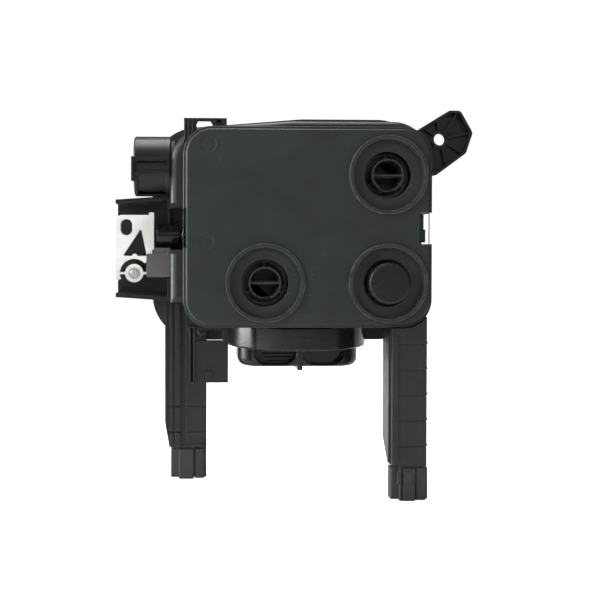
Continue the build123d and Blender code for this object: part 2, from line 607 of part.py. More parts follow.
# ======== Side inlet ========
with BuildPart() as side_inlet:
    with BuildSketch(Plane.YZ.offset(INLET_END_X)):
        with Locations((INLET_Y, INLET_Z)):
            Circle(INLET_R)
    extrude(amount=BODY_WALL_X - GAP - INLET_END_X)
    chamfer(side_inlet.faces().sort_by(Axis.X)[0].edges(), length=0.8)
    # Ribs and a lug on the front, with a slot and a sunk panel below them.
    for drop in (-3.0, 5.4):
        with Locations((-106.4, INLET_Y - INLET_R + 0.5, INLET_Z - drop)):
            Box(21.6, 3.6, 2.2)
    with Locations((INLET_END_X - 0.2, INLET_Y - INLET_R + 1, INLET_Z - 3.0)):
        Box(1.8, 6.0, 15.0)
    with Locations((-106.0, INLET_Y - INLET_R, INLET_Z + 1.2)):
        Box(19.0, 4.4, 1.4, mode=Mode.SUBTRACT)
    with BuildSketch(Plane.YZ.offset(INLET_END_X + 2.2)):
        with Locations((INLET_Y, INLET_Z)):
            Circle(INLET_R + 2)
            Circle(INLET_R - 1.8, mode=Mode.SUBTRACT)
            with Locations((-11.0, -12.6)):
                Rectangle(22.0, 11.0, mode=Mode.INTERSECT)
    extrude(amount=18.0, mode=Mode.SUBTRACT)
    with BuildSketch(Plane.YZ.offset(INLET_END_X - 2)):
        with Locations((INLET_Y, INLET_Z)):
            Circle(INLET_BORE_R)
    extrude(amount=60, mode=Mode.SUBTRACT)
save(side_inlet, "side_inlet")

with BuildPart() as inlet_seal:
    with BuildSketch(Plane.YZ.offset(BODY_WALL_X + 0.2)):
        with Locations((INLET_Y, INLET_Z)):
            Circle(INLET_BORE_R + 0.5)
            Circle(INLET_BORE_R - 1.2, mode=Mode.SUBTRACT)
    extrude(amount=WALL - 0.3)
save(inlet_seal, "inlet_seal")

# ======== Lever channel ========
with BuildPart() as channel_bracket:
    right_x = BODY_WALL_X - GAP
    with BuildSketch(Plane.XZ.offset(-CHANNEL_BACK_Y)):
        with BuildLine():
            Polyline(
                (CHANNEL_LEFT_X, CHANNEL_TOP_Z - 2.0), (right_x, CHANNEL_TOP_Z + 0.5),
                (right_x, CHANNEL_BOTTOM_Z - 1.5), (CHANNEL_LEFT_X, CHANNEL_BOTTOM_Z + 1.0), close=True,
            )
        make_face()
    extrude(amount=CHANNEL_BACK_Y - CHANNEL_FRONT_Y)
    with BuildSketch(Plane.XZ.offset(-CHANNEL_BACK_Y + WALL)):
        with BuildLine():
            Polyline(
                (CHANNEL_LEFT_X - 1, CHANNEL_TOP_Z - 4.6), (right_x - 2.0, CHANNEL_TOP_Z - 2.3),
                (right_x - 2.0, CHANNEL_BOTTOM_Z + 1.3), (CHANNEL_LEFT_X - 1, CHANNEL_BOTTOM_Z + 3.6),
                close=True,
            )
        make_face()
    extrude(amount=40, mode=Mode.SUBTRACT)
    # Pivot post for the lever, and the window that the plunger works through.
    extrude(disc(PIVOT, 5.0, CHANNEL_BACK_Y - 1), amount=CHANNEL_BACK_Y - 1 - LEVER_Y - LEVER_THICK - GAP)
    extrude(disc(PIVOT, 1.6, CHANNEL_BACK_Y - 1), amount=40, mode=Mode.SUBTRACT)
    with Locations((right_x, CHANNEL_FRONT_Y + 7.0, alcove_z)):
        Box(8.0, 18.2, alcove_height, mode=Mode.SUBTRACT)
    with Locations((right_x, CHANNEL_FRONT_Y, -21.0)):
        Box(8.0, 14.0, 21.0, mode=Mode.SUBTRACT)
save(channel_bracket, "channel_bracket")

# ======== Override lever ========
# Flat plate with an oval slot, a triangular window with a scalloped foot and an arch round the
# hub. Two thin bridges tie the hub ring to the plate. A fold at the right edge meets the plunger.
LEVER_LEFT = -130.2
LEVER_RIGHT = -106.6
LEVER_TOP = 9.8
LEVER_FOOT = -15.6
HUB_R = 5.9
with BuildPart() as override_lever:
    with BuildSketch(Plane.XZ.offset(-LEVER_Y - LEVER_THICK)):
        with BuildLine():
            FilletPolyline(
                (LEVER_LEFT, -32.4), (LEVER_LEFT, LEVER_TOP), (LEVER_RIGHT, LEVER_TOP),
                (LEVER_RIGHT, LEVER_FOOT), (LEVER_RIGHT - 2.6, LEVER_FOOT - 4.0), (LEVER_LEFT + 2.2, -32.4),
                radius=(3.9, 0.6, 0.4, 0.4), close=False,
            )
            Line((LEVER_LEFT + 2.2, -32.4), (LEVER_LEFT, -32.4))
        make_face()
        with Locations((-123.3, 1.9)):
            SlotOverall(10.4, 7.4, rotation=90, mode=Mode.SUBTRACT)
        with BuildLine():
            FilletPolyline((-125.6, -16.6), (-113.9, 1.2), (-110.2, -16.6), radius=0.6, close=True)
        make_face(mode=Mode.SUBTRACT)
        with Locations((-118.0, -16.8)):
            Circle(1.7)
        with Locations(PIVOT):
            Circle(9.2, mode=Mode.SUBTRACT)
            with Locations((2, -10)):
                Rectangle(24, 12, mode=Mode.SUBTRACT)
            Circle(HUB_R)
            Rectangle(19.6, 1.5)
            Circle(3.6, mode=Mode.SUBTRACT)
    extrude(amount=LEVER_THICK)
    with Locations((LEVER_RIGHT, LEVER_Y + 4.5, -0.6)):
        Box(2.0, 9.0, 24.0)
    with BuildSketch(Plane.XZ.offset(-LEVER_Y - LEVER_THICK)):
        with Locations((LEVER_RIGHT - 0.6, -0.6)):
            Rectangle(3.2, 24.0)
    extrude(amount=LEVER_THICK)
save(override_lever, "override_lever")

# The shoulder screw's sleeve carries the hub. Its head sits in a round recess.
with BuildPart() as pivot_screw:
    extrude(disc(PIVOT, 3.55, LEVER_Y + LEVER_THICK + 0.2), amount=LEVER_THICK + 0.6)
    extrude(ring(PIVOT, 3.0, 2.4, LEVER_Y + 1.0), amount=4.0, mode=Mode.SUBTRACT)
    extrude(disc(PIVOT, 2.4, LEVER_Y + 1.0), amount=1.8)
    fillet(pivot_screw.faces().sort_by(Axis.Y)[0].edges(), radius=0.4)
    extrude(disc(PIVOT, 1.6, 58.0), amount=12.0)
    with BuildSketch(front(LEVER_Y - 0.8)):
        with Locations(PIVOT):
            Rectangle(2.8, 0.6)
            Rectangle(0.6, 2.8)
    extrude(amount=-0.8, mode=Mode.SUBTRACT)
save(pivot_screw, "pivot_screw")

# The strap runs from the body's side across the lever's foot and keeps it in the channel.
with BuildPart() as lever_strap:
    strap_right = BODY_WALL_X - GAP - 0.3
    with BuildSketch(front(LEVER_Y - 0.5)):
        with Locations(((strap_right - 110.3) / 2, -22.6)):
            RectangleRounded(110.3 + strap_right, 15.0, 1.2)
    extrude(amount=2.4)
    with BuildSketch(front(LEVER_Y - 0.5)):
        with Locations((strap_right - 5.2, -13.4)):
            Rectangle(10.4, 4.0)
    extrude(amount=1.6)
    with Locations((strap_right - 0.9, LEVER_Y + 0.6, -21.6)):
        Box(1.8, 6.5, 15.0)
save(lever_strap, "lever_strap")

# ======== Plunger ========
# Drum with a domed end outside the body, a stem through the sealed bush, and a poppet inside. The
# return spring sits in the drum round the stem, and bears on the alcove's wall.
SPRING_R = 4.3
SPRING_WIRE_R = 0.45
SPRING_TURNS = 6
DRUM_FLOOR_X = PLUNGER_END_X + 3.5


def across(x, *radii):
    """Round face or ring round the plunger's axis, in the plane across it at x."""
    with BuildSketch(Plane.YZ.offset(x)) as face:
        with Locations((PLUNGER_Y, PLUNGER_Z)):
            Circle(radii[0])
            if len(radii) > 1:
                Circle(radii[1], mode=Mode.SUBTRACT)
    return face.sketch


with BuildPart() as override_plunger:
    extrude(across(PLUNGER_END_X, PLUNGER_R), amount=PLUNGER_BACK_X - PLUNGER_END_X)
    # The end is domed, so that the tilting lever rolls on it.
    with Locations((PLUNGER_END_X + 20.0, PLUNGER_Y, PLUNGER_Z)):
        Sphere(20.0, mode=Mode.INTERSECT)
    extrude(across(DRUM_FLOOR_X, PLUNGER_R - 1.4), amount=30.0, mode=Mode.SUBTRACT)
    extrude(across(DRUM_FLOOR_X - 1, 2.5), amount=36.0)
    extrude(across(-67.5, 6.5), amount=2.5)
save(override_plunger, "override_plunger")

with BuildPart() as plunger_spring:
    spring_length = ALCOVE_X - DRUM_FLOOR_X - 2 * SPRING_WIRE_R - 0.2
    spring_start = DRUM_FLOOR_X + SPRING_WIRE_R + 0.1
    spring_foot = (spring_start, PLUNGER_Y, PLUNGER_Z)
    with BuildLine() as coil:
        Helix(spring_length / SPRING_TURNS, spring_length, SPRING_R, center=spring_foot, direction=(1, 0, 0))
    with BuildSketch(Plane(coil.line @ 0, z_dir=coil.line % 0)):
        Circle(SPRING_WIRE_R)
    sweep(path=coil.line)
save(plunger_spring, "plunger_spring")

with BuildPart() as plunger_bush:
    extrude(across(ALCOVE_X + 0.1, 5.0, 2.55), amount=5.8)
save(plunger_bush, "plunger_bush")

with BuildPart() as plunger_seal:
    extrude(across(ALCOVE_X + 6.1, 4.95, 2.55), amount=2.4)
save(plunger_seal, "plunger_seal")

# ======== Service cap and strainer ========
with BuildPart() as service_cap:
    with BuildSketch(Plane.XY.offset(CAP_RIM_Z)):
        with Locations((CAP_X, CAP_Y)):
            Circle(CAP_R)
    extrude(amount=CAP_TOP_Z - CAP_RIM_Z)
    fillet(service_cap.faces().sort_by(Axis.Z)[0].edges(), radius=1.2)
    with BuildSketch(Plane.XY.offset(CAP_TOP_Z)):
        with Locations((CAP_X, CAP_Y)):
            Circle(CAP_R - WALL)
            Circle(NECK_R - 0.3, mode=Mode.SUBTRACT)
    extrude(amount=CAP_RIM_Z + 3.0 - CAP_TOP_Z, mode=Mode.SUBTRACT)
    with BuildSketch(Plane.XY.offset(CAP_TOP_Z)):
        with Locations((CAP_X, CAP_Y)):
            Circle(NECK_R - 3.0)
    extrude(amount=CAP_RIM_Z + 3.0 - CAP_TOP_Z, mode=Mode.SUBTRACT)
    with BuildSketch(Plane.XY.offset(CAP_RIM_Z + 5.2)):
        with Locations((CAP_X, CAP_Y)):
            Circle(NECK_R)
            Circle(NECK_R - 1.9, mode=Mode.SUBTRACT)
    extrude(amount=2.2, mode=Mode.SUBTRACT)
    # Grip: a round boss with a pocket on each side of the centre fin, in front and behind, and
    # finger ribs across two of the pockets.
    with BuildSketch(Plane.XY.offset(CAP_GRIP_Z)):
        with Locations((CAP_X, CAP_Y)):
            RectangleRounded(*GRIP_SIZE, 14.0)
    extrude(amount=CAP_RIM_Z - CAP_GRIP_Z)
    fillet(service_cap.faces().sort_by(Axis.Z)[0].edges(), radius=5.0)
    for turn in (0, 180):
        for side in (-1, 1):
            rim_point = (CAP_X, CAP_Y, CAP_RIM_Z)
            pocket_plane = Plane(rim_point, x_dir=(1, 0, 0), z_dir=(0, -1, 0)).rotated((0, 0, turn))
            with BuildSketch(pocket_plane.offset(POCKET_FLOOR_Y)):
                with Locations((side * (FIN_WIDTH + POCKET_WIDTH) / 2, 0)):
                    RectangleRounded(POCKET_WIDTH, 2 * POCKET_HEIGHT, 9.0)
                with Locations((0, 30.0)):
                    Rectangle(120, 60.0, mode=Mode.SUBTRACT)
            extrude(amount=40, mode=Mode.SUBTRACT)
        for step in range(4):
            rib_width = 23.0 - 1.5 * step
            with BuildSketch(pocket_plane.offset(POCKET_FLOOR_Y - 1)):
                with Locations((-FIN_WIDTH / 2 - rib_width / 2 + 0.4, -2.3 - 2.3 * step)):
                    Rectangle(rib_width, 0.8)
            extrude(amount=3.4)
    with Locations((CAP_X, CAP_Y, (CAP_RIM_Z + CAP_GRIP_Z) / 2 - 0.7)):
        Box(FIN_WIDTH, GRIP_SIZE[1] + 7, CAP_RIM_Z - CAP_GRIP_Z + 1.4)
    with BuildSketch(Plane.XY.offset(CAP_GRIP_Z + 3)):
        with Locations((CAP_X, CAP_Y)):
            Circle(POCKET_FLOOR_Y - 3.0)
    extrude(amount=CAP_RIM_Z + 4 - CAP_GRIP_Z - 3, mode=Mode.SUBTRACT)
save(service_cap, "service_cap")

with BuildPart() as cap_oring:
    with BuildSketch(Plane.XY.offset(CAP_RIM_Z + 5.3)):
        with Locations((CAP_X, CAP_Y)):
            Circle(NECK_R - 0.06)
            Circle(NECK_R - 1.8, mode=Mode.SUBTRACT)
    extrude(amount=2.0)
save(cap_oring, "cap_oring")

with BuildPart() as strainer_basket:
    with BuildSketch(Plane.XY.offset(CAP_TOP_Z + 0.8)):
        with Locations((CAP_X, CAP_Y)):
            Circle(NECK_R - 1.0)
            Circle(NECK_R - 2.4, mode=Mode.SUBTRACT)
    extrude(amount=17.0)
    for level in range(3):
        with BuildSketch(Plane.XY.offset(CAP_TOP_Z + 4.2 + 4.4 * level)):
            with Locations((CAP_X, CAP_Y)):
                with PolarLocations(NECK_R - 1.7, 40):
                    Rectangle(4.0, 2.6)
        extrude(amount=3.0, mode=Mode.SUBTRACT)
    with BuildSketch(Plane.XY.offset(CAP_TOP_Z + 0.8)):
        with Locations((CAP_X, CAP_Y)):
            Circle(NECK_R - 1.0)
            Circle(NECK_R - 6.0, mode=Mode.SUBTRACT)
    extrude(amount=1.2)
save(strainer_basket, "strainer_basket")


# ======== Legs and feet ========
SOCKET = (9.0, 6.0, 6.0)


def leg_shell(x_range, y_range, top_z):
    """Hollow leg, open to the back, whose rear edge slopes forward above the foot's socket."""
    with BuildPart() as shell:
        with BuildSketch(Plane.YZ.offset(x_range[0])):
            with BuildLine():
                Polyline(
                    (y_range[0], top_z), (y_range[1], top_z), (y_range[1], FOOT_TOP_Z + 13),
                    (y_range[0] + 13, FOOT_TOP_Z), (y_range[0], FOOT_TOP_Z), close=True,
                )
            make_face()
        extrude(amount=x_range[1] - x_range[0])
        middle_x = sum(x_range) / 2
        inner = (x_range[1] - x_range[0]) - 2 * WALL
        with Locations((middle_x, y_range[0] + WALL + 30, (top_z + FOOT_TOP_Z) / 2 + 3)):
            Box(inner, 60, top_z - FOOT_TOP_Z - 10, mode=Mode.SUBTRACT)
        # Cross webs inside stiffen the channel.
        for web in range(3):
            with Locations((middle_x, (y_range[0] + y_range[1]) / 2, top_z - 16 - web * 18)):
                Box(inner, y_range[1] - y_range[0] - 1, 2.0)
        with Locations((middle_x, y_range[0] + 6.0, FOOT_TOP_Z + SOCKET[2] / 2)):
            Box(*SOCKET, mode=Mode.SUBTRACT)
    return shell.part


def cross_foot(x_range, leg_x, y_front):
    """Cross-shaped end block whose spigot is pushed into the leg's socket."""
    middle_x = sum(x_range) / 2
    top_z = FOOT_TOP_Z - 1.4
    with BuildPart() as block:
        with BuildSketch(Plane.XY.offset(LEG_BOTTOM_Z + 0.8)):
            with Locations((middle_x, y_front + 6.0)):
                RectangleRounded(x_range[1] - x_range[0], 8.6, 1.2)
        extrude(amount=top_z - LEG_BOTTOM_Z - 0.8)
        with BuildSketch(Plane.XY.offset(LEG_BOTTOM_Z)):
            with Locations((middle_x - 1.5, y_front + 6.0)):
                RectangleRounded(10.0, 13.4, 0.8)
        extrude(amount=top_z - LEG_BOTTOM_Z)
        with BuildSketch(Plane.XY.offset(LEG_BOTTOM_Z + 0.4)):
            with Locations((x_range[1] - 4.6, y_front + 6.0)):
                RectangleRounded(6.0, 11.2, 0.8)
        extrude(amount=top_z - LEG_BOTTOM_Z - 0.4)
        chamfer(block.faces().sort_by(Axis.Z)[0].edges(), length=0.6)
        with Locations((sum(leg_x) / 2, y_front + 6.0, FOOT_TOP_Z - 0.8)):
            Box(SOCKET[0] + 3, SOCKET[1] + 3, 1.4)
        with Locations((sum(leg_x) / 2, y_front + 6.0, FOOT_TOP_Z + SOCKET[2] / 2 - 1.0)):
            Box(SOCKET[0] - 0.1, SOCKET[1] - 0.1, SOCKET[2] + 1.0)
    return block.part


with BuildPart() as right_leg:
    add(leg_shell(RIGHT_LEG_X, (0.0, RIGHT_LEG_DEPTH), LID_BOTTOM_Z - GAP))
    # The outer corner runs up beside the lid's rounded corner.
    with Locations((RIGHT_LEG_X[1] - 7.0, RIGHT_LEG_DEPTH / 2, LID_BOTTOM_Z + 3.0)):
        Box(14.0, RIGHT_LEG_DEPTH, 14.0)
    lid_clear = grown(LID_SIZE, GAP)
    extrude(rounded(LID_CENTRE, lid_clear, LID_RADIUS + GAP, 60), amount=90, mode=Mode.SUBTRACT)
    extrude(stage_outline(-GAP, 60), amount=60 - BODY_STEP_Y + GAP, mode=Mode.SUBTRACT)
    leg_middle_z = (LID_BOTTOM_Z + FOOT_TOP_Z) / 2
    leg_height = LID_BOTTOM_Z - FOOT_TOP_Z
    with Locations((RIGHT_LEG_X[0] + 2.0, 0.2, leg_middle_z - 2.0)):
        Box(3.6, 2.4, leg_height - 6)
    # A groove and a rib run down the inner side behind the front bead.
    with Locations((RIGHT_LEG_X[0], 3.2, leg_middle_z - 2.0)):
        Box(3.0, 3.0, leg_height - 4, mode=Mode.SUBTRACT)
    with Locations((RIGHT_LEG_X[0], 6.6, leg_middle_z - 2.0)):
        Box(2.0, 3.0, leg_height - 6)
    for groove in range(5):
        groove_z = -69.5 - groove * 15.4
        with Locations((sum(RIGHT_LEG_X) / 2, 0, groove_z)):
            Box(40, 1.2, 0.8, mode=Mode.SUBTRACT)
        with Locations((RIGHT_LEG_X[1], 4.0, groove_z + 1.0)):
            Box(1.0, 8.0, 1.1)
save(right_leg, "right_leg")

with BuildPart() as left_leg:
    add(leg_shell(LEFT_LEG_X, LEFT_LEG_Y, CASING_BOTTOM_Z - GAP))
    # Tongue in front of the casing, screwed to the body.
    with Locations((sum(LEFT_LEG_X) / 2, LEFT_LEG_Y[0] + 2.3, (CASING_BOTTOM_Z - 46) / 2 - 1)):
        Box(LEFT_LEG_X[1] - LEFT_LEG_X[0], 4.6, -46 - CASING_BOTTOM_Z + 1.4)
    # Three beads down the left half of the front, and a sunk panel above the foot.
    for x, width, depth in ((-98.2, 1.6, 1.8), (-94.7, 2.0, 2.4), (-90.4, 3.0, 2.8)):
        with Locations((x, LEFT_LEG_Y[0], -95.0)):
            Box(width, depth, 94.0)
    with Locations((-86.9, LEFT_LEG_Y[0], -95.0)):
        Box(3.0, 1.6, 94.0, mode=Mode.SUBTRACT)
    for groove in range(2):
        with Locations((sum(LEFT_LEG_X) / 2, LEFT_LEG_Y[0] - 1, -116.0 - groove * 16.8)):
            Box(40, 3.2, 0.9, mode=Mode.SUBTRACT)
    with Locations((-79.0, LEFT_LEG_Y[0], -138.9)):
        Box(14.4, 2.4, 4.6, mode=Mode.SUBTRACT)
    # The outer edge leans in towards the foot.
    with BuildSketch(front(LEFT_LEG_Y[1] + 1)):
        with BuildLine():
            Polyline((-101.0, -126.0), (-99.0, -126.0), (-96.0, -144.0), (-101.0, -144.0), close=True)
        make_face()
    extrude(amount=LEFT_LEG_Y[1] - LEFT_LEG_Y[0] + 5, mode=Mode.SUBTRACT)
save(left_leg, "left_leg")

with BuildPart() as right_foot:
    add(cross_foot(RIGHT_FOOT_X, RIGHT_LEG_X, 0.0))
    # Two raised tabs on the upper half, with a slit between them.
    with Locations((43.6, -0.9, -149.6)):
        Box(2.0, 2.4, 7.0)
    with Locations((49.4, -0.9, -149.6)):
        Box(4.8, 2.4, 7.0)
    with Locations((45.7, -0.4, -154.0)):
        Box(0.9, 2.4, 22.0, mode=Mode.SUBTRACT)
save(right_foot, "right_foot")

with BuildPart() as left_foot:
    add(cross_foot(LEFT_FOOT_X, LEFT_LEG_X, LEFT_LEG_Y[0]))
save(left_foot, "left_foot")

with BuildPart() as leg_screws:
    for screw in ((-74.9, -66.0), (-81.4, -66.0)):
        extrude(disc(screw, 3.2, LEFT_LEG_Y[0] - 0.1), amount=2.0)
        with BuildSketch(front(LEFT_LEG_Y[0] - 2.1)):
            with Locations(screw):
                Rectangle(3.6, 0.8)
                Rectangle(0.8, 3.6)
        extrude(amount=-0.9, mode=Mode.SUBTRACT)
save(leg_screws, "leg_screws")

# ======== Clip plate, harness clip, latch and mounting arm ========
with BuildPart() as clip_plate:
    with BuildSketch(front(13.0)):
        with Locations((-70.5, -76.6)):
            Rectangle(23.4, 33.6)
        with Locations((-70.0, -63.0)):
            Rectangle(17.4, 9.6, mode=Mode.SUBTRACT)
    extrude(amount=4.0)
    chamfer(clip_plate.edges().filter_by(Axis.Z).group_by(Axis.X)[0].sort_by(Axis.Y)[0], length=2.4)
    with Locations((-70.2, 8.9, -88.6)):
        Box(4.2, 1.6, 4.6)
    with Locations((-81.9, 9.6, -76.6), (-79.6, 9.0, -76.6)):
        Box(0.9, 2.4, 33.6)
    with Locations((-61.2, 8.8, -64.6)):
        Box(1.8, 1.2, 9.6)
    with Locations((-70.5, 13.6, -60.6)):
        Box(23.4, 5.0, 1.8)
save(clip_plate, "clip_plate")

with BuildPart() as harness_clip:
    clip_z = LID_CENTRE[1] + LID_SIZE[1] / 2
    with Locations((-72.8, 16.0, clip_z + 5.6)):
        Box(26.2, 6.0, 1.3)
    with Locations((-82.2, 16.0, clip_z - 0.8)):
        Box(7.2, 6.0, 13.0)
        with Locations((-2.9, -3.2, 0), (-0.6, -3.2, 0), (1.8, -3.2, 0)):
            Box(1.0, 1.4, 13.0)
    with BuildSketch(front(19.0)):
        with BuildLine():
            Polyline((-79.2, 58.0), (-79.2, 67.4), (-76.6, 67.4), (-78.4, 64.2), (-77.2, 58.0), close=True)
        make_face()
        with BuildLine():
            Polyline((-69.4, 58.0), (-68.4, 64.4), (-70.2, 67.4), (-65.9, 67.4), (-65.9, 58.0), close=True)
        make_face()
    extrude(amount=6.0)
    with Locations((-61.2, 16.0, clip_z + 2.4)):
        Box(3.0, 6.0, 6.0)
    with Locations((-64.0, 17.6, clip_z + 2.4)):
        Box(5.0, 2.4, 6.0)
    extrude(rounded(LID_CENTRE, grown(LID_SIZE, GAP), LID_RADIUS + GAP, 40), amount=60, mode=Mode.SUBTRACT)
save(harness_clip, "harness_clip")

with BuildPart() as side_latch:
    with Locations((57.4, 6.0, 4.4)):
        Box(2.4, 6.0, 8.0)
    with Locations((58.4, 6.3, -4.0)):
        Box(4.2, 4.0, 7.8)
    with Locations((58.0, 7.4, 0.5)):
        Box(4.0, 1.6, 17.0)
save(side_latch, "side_latch")


def arm_face(shrink, y):
    """Outline of the mounting arm at depth y, drawn in by shrink."""
    tip = [(56.0, 60.0), (80.7, 75.2), (87.7, 75.2), (95.6, 61.4)]
    corners = tip + [(91.3, 48.4), (72.4, 34.5), (60.0, 34.5)]
    with BuildSketch(front(y)) as face:
        with BuildLine():
            FilletPolyline(*corners, radius=(3.0, 3.0, 4.0, 4.0, 2.0))
            Line(corners[-1], corners[0])
        make_face()
        if shrink:
            offset(amount=-shrink, mode=Mode.REPLACE)
    return face.sketch


# The arm is a shallow tray, open to the front, with ribs that run out from the screw boss.
with BuildPart() as mounting_arm:
    extrude(arm_face(0, ARM_Y), amount=8.0)
    extrude(arm_face(1.4, ARM_Y - 2.2), amount=10.0, mode=Mode.SUBTRACT)
    extrude(disc(ARM_HOLE, ARM_BUSH_R + 0.9, ARM_Y), amount=3.8)
    with BuildSketch(front(ARM_Y)):
        with Locations(ARM_HOLE):
            with PolarLocations(15.0, 8, start_angle=12):
                Rectangle(30.0, 1.1)
    extrude(amount=5.0)
    extrude(arm_face(0, ARM_Y), amount=10.0, mode=Mode.INTERSECT)
    extrude(stage_outline(-GAP, 60), amount=60, mode=Mode.SUBTRACT)
    extrude(disc(ARM_HOLE, ARM_BUSH_R, 60), amount=60, mode=Mode.SUBTRACT)
save(mounting_arm, "mounting_arm")

with BuildPart() as arm_bush:
    extrude(ring(ARM_HOLE, ARM_BUSH_R, ARM_BUSH_BORE_R, ARM_Y + 0.2), amount=ARM_BUSH_LENGTH)
save(arm_bush, "arm_bush")
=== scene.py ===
import math

import bpy
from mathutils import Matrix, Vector


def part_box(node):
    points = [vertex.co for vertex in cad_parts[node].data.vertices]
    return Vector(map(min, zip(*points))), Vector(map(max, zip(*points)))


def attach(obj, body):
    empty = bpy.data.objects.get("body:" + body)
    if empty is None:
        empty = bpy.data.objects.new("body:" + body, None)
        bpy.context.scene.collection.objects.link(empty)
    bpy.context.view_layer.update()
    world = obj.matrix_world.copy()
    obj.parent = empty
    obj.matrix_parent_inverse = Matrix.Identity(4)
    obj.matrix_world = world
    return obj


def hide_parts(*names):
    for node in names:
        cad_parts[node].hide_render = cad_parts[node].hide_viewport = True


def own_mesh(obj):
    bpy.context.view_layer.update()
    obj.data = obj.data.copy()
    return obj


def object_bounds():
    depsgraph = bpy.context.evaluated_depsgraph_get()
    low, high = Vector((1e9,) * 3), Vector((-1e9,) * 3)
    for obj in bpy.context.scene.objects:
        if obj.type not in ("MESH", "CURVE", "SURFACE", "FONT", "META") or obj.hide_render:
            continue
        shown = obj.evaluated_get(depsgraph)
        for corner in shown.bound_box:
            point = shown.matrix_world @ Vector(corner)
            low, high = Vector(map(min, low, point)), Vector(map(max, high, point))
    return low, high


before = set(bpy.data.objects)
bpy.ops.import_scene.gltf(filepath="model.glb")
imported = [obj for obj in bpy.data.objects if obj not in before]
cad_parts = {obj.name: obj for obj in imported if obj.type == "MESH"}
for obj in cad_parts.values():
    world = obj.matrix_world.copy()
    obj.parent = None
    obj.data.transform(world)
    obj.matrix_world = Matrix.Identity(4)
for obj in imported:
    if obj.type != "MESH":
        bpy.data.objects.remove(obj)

CAD_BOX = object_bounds()

# ---------------------------------------------------------------- studio
# The valve stands on pale seamless paper in a white room. A tall soft box close on the left gives
# the dark plastic its pale left edges; a weak one in front and two strips behind fill the rest.
camera_data = bpy.data.cameras.new("studio_camera")
camera_data.lens = 53.2
camera_data.shift_x = 0.120
camera_data.shift_y = -0.069
camera_data.clip_start = 0.01
camera = bpy.data.objects.new("studio_camera", camera_data)
camera.location = (-0.0757, -0.5379, -0.0132)
camera.rotation_euler = (math.radians(90 - 0.77), math.radians(-0.09), math.radians(-1.99))
bpy.context.scene.collection.objects.link(camera)
bpy.context.scene.camera = camera


def soft_box(name, place, target, width, height, power):
    """Rectangular soft light that faces its target."""
    light = bpy.data.lights.new(name, "AREA")
    light.shape = "RECTANGLE"
    light.size, light.size_y = width, height
    light.energy = power
    lamp = bpy.data.objects.new(name, light)
    lamp.location = place
    lamp.rotation_euler = (Vector(target) - Vector(place)).to_track_quat("-Z", "Y").to_euler()
    bpy.context.scene.collection.objects.link(lamp)


soft_box("key_left", (-0.85, -0.60, 0.45), (0, 0.03, 0), 0.5, 0.9, 9)
soft_box("side_left", (-1.05, 0.15, 0.10), (0, 0.05, -0.02), 0.5, 0.9, 24)
soft_box("front_fill", (0.25, -1.4, 0.55), (0, 0.03, -0.02), 0.7, 0.5, 3)
soft_box("top_wash", (-0.1, 0.2, 1.0), (0, 0.05, 0), 0.8, 0.6, 12)
soft_box("back_right", (0.8, 0.9, 0.45), (0, 0.05, 0), 0.4, 0.9, 6)


def seen_by_camera(tree, strength_lit, strength_seen):
    """Strength that is one value for the lens and another for the light on the object."""
    path = tree.nodes.new("ShaderNodeLightPath")
    blend = tree.nodes.new("ShaderNodeMapRange")
    blend.inputs["To Min"].default_value = strength_lit
    blend.inputs["To Max"].default_value = strength_seen
    tree.links.new(path.outputs["Is Camera Ray"], blend.inputs["Value"])
    return blend.outputs["Result"]


world = bpy.data.worlds.new("studio_white")
world.use_nodes = True
room = world.node_tree
room.nodes["Background"].inputs["Color"].default_value = (1.0, 1.0, 1.0, 1)
room.links.new(seen_by_camera(room, 0.10, 1.05), room.nodes["Background"].inputs["Strength"])
bpy.context.scene.world = world
bpy.context.scene.view_settings.view_transform = "Standard"

bpy.ops.mesh.primitive_plane_add(size=8.0, location=(0, 0.5, CAD_BOX[0].z - 0.0004))
floor = bpy.context.object
floor.name = "studio_floor"
paper = bpy.data.materials.new("floor_paper")
paper.use_nodes = True
paper_shader = paper.node_tree.nodes["Principled BSDF"]
paper_shader.inputs["Base Color"].default_value = (0.80, 0.80, 0.80, 1)
paper_shader.inputs["Roughness"].default_value = 0.9
paper_shader.inputs["Emission Color"].default_value = (1, 1, 1, 1)
paper.node_tree.links.new(
    seen_by_camera(paper.node_tree, 0.0, 0.97), paper_shader.inputs["Emission Strength"]
)
floor.data.materials.append(paper)

# ---------------------------------------------------------------- front lid
# Flat ported tray of filled polypropylene, injection moulded in black and welded to the body. The
# grain, the rubbed edges and the shelf scuffs that it shares with the other mouldings start here.


def group_shell(name, inputs, outputs):
    """Empty shader node group with named float inputs and named outputs, and its two end nodes."""
    group = bpy.data.node_groups.new(name, "ShaderNodeTree")
    for label, value in inputs:
        socket = group.interface.new_socket(label, in_out="INPUT", socket_type="NodeSocketFloat")
        socket.default_value = value
    for label, kind in outputs:
        group.interface.new_socket(label, in_out="OUTPUT", socket_type=kind)
    return group, group.nodes.new("NodeGroupInput"), group.nodes.new("NodeGroupOutput")


def plug(tree, value, socket):
    """Joins a socket to an input, or sets the input to a plain value."""
    if isinstance(value, bpy.types.NodeSocket):
        tree.links.new(value, socket)
    else:
        socket.default_value = value


def sum_of(tree, operation, first, second, clamp=False):
    """Two-input math node. Gives its output."""
    node = tree.nodes.new("ShaderNodeMath")
    node.operation = operation
    node.use_clamp = clamp
    plug(tree, first, node.inputs[0])
    plug(tree, second, node.inputs[1])
    return node.outputs[0]


def cloud(tree, place, scale, detail=2.0, roughness=0.5, distortion=0.0):
    """Noise on the given coordinates. Gives its factor."""
    node = tree.nodes.new("ShaderNodeTexNoise")
    for label, value in (
        ("Vector", place), ("Scale", scale), ("Detail", detail),
        ("Roughness", roughness), ("Distortion", distortion),
    ):
        plug(tree, value, node.inputs[label])
    return node.outputs["Fac"]


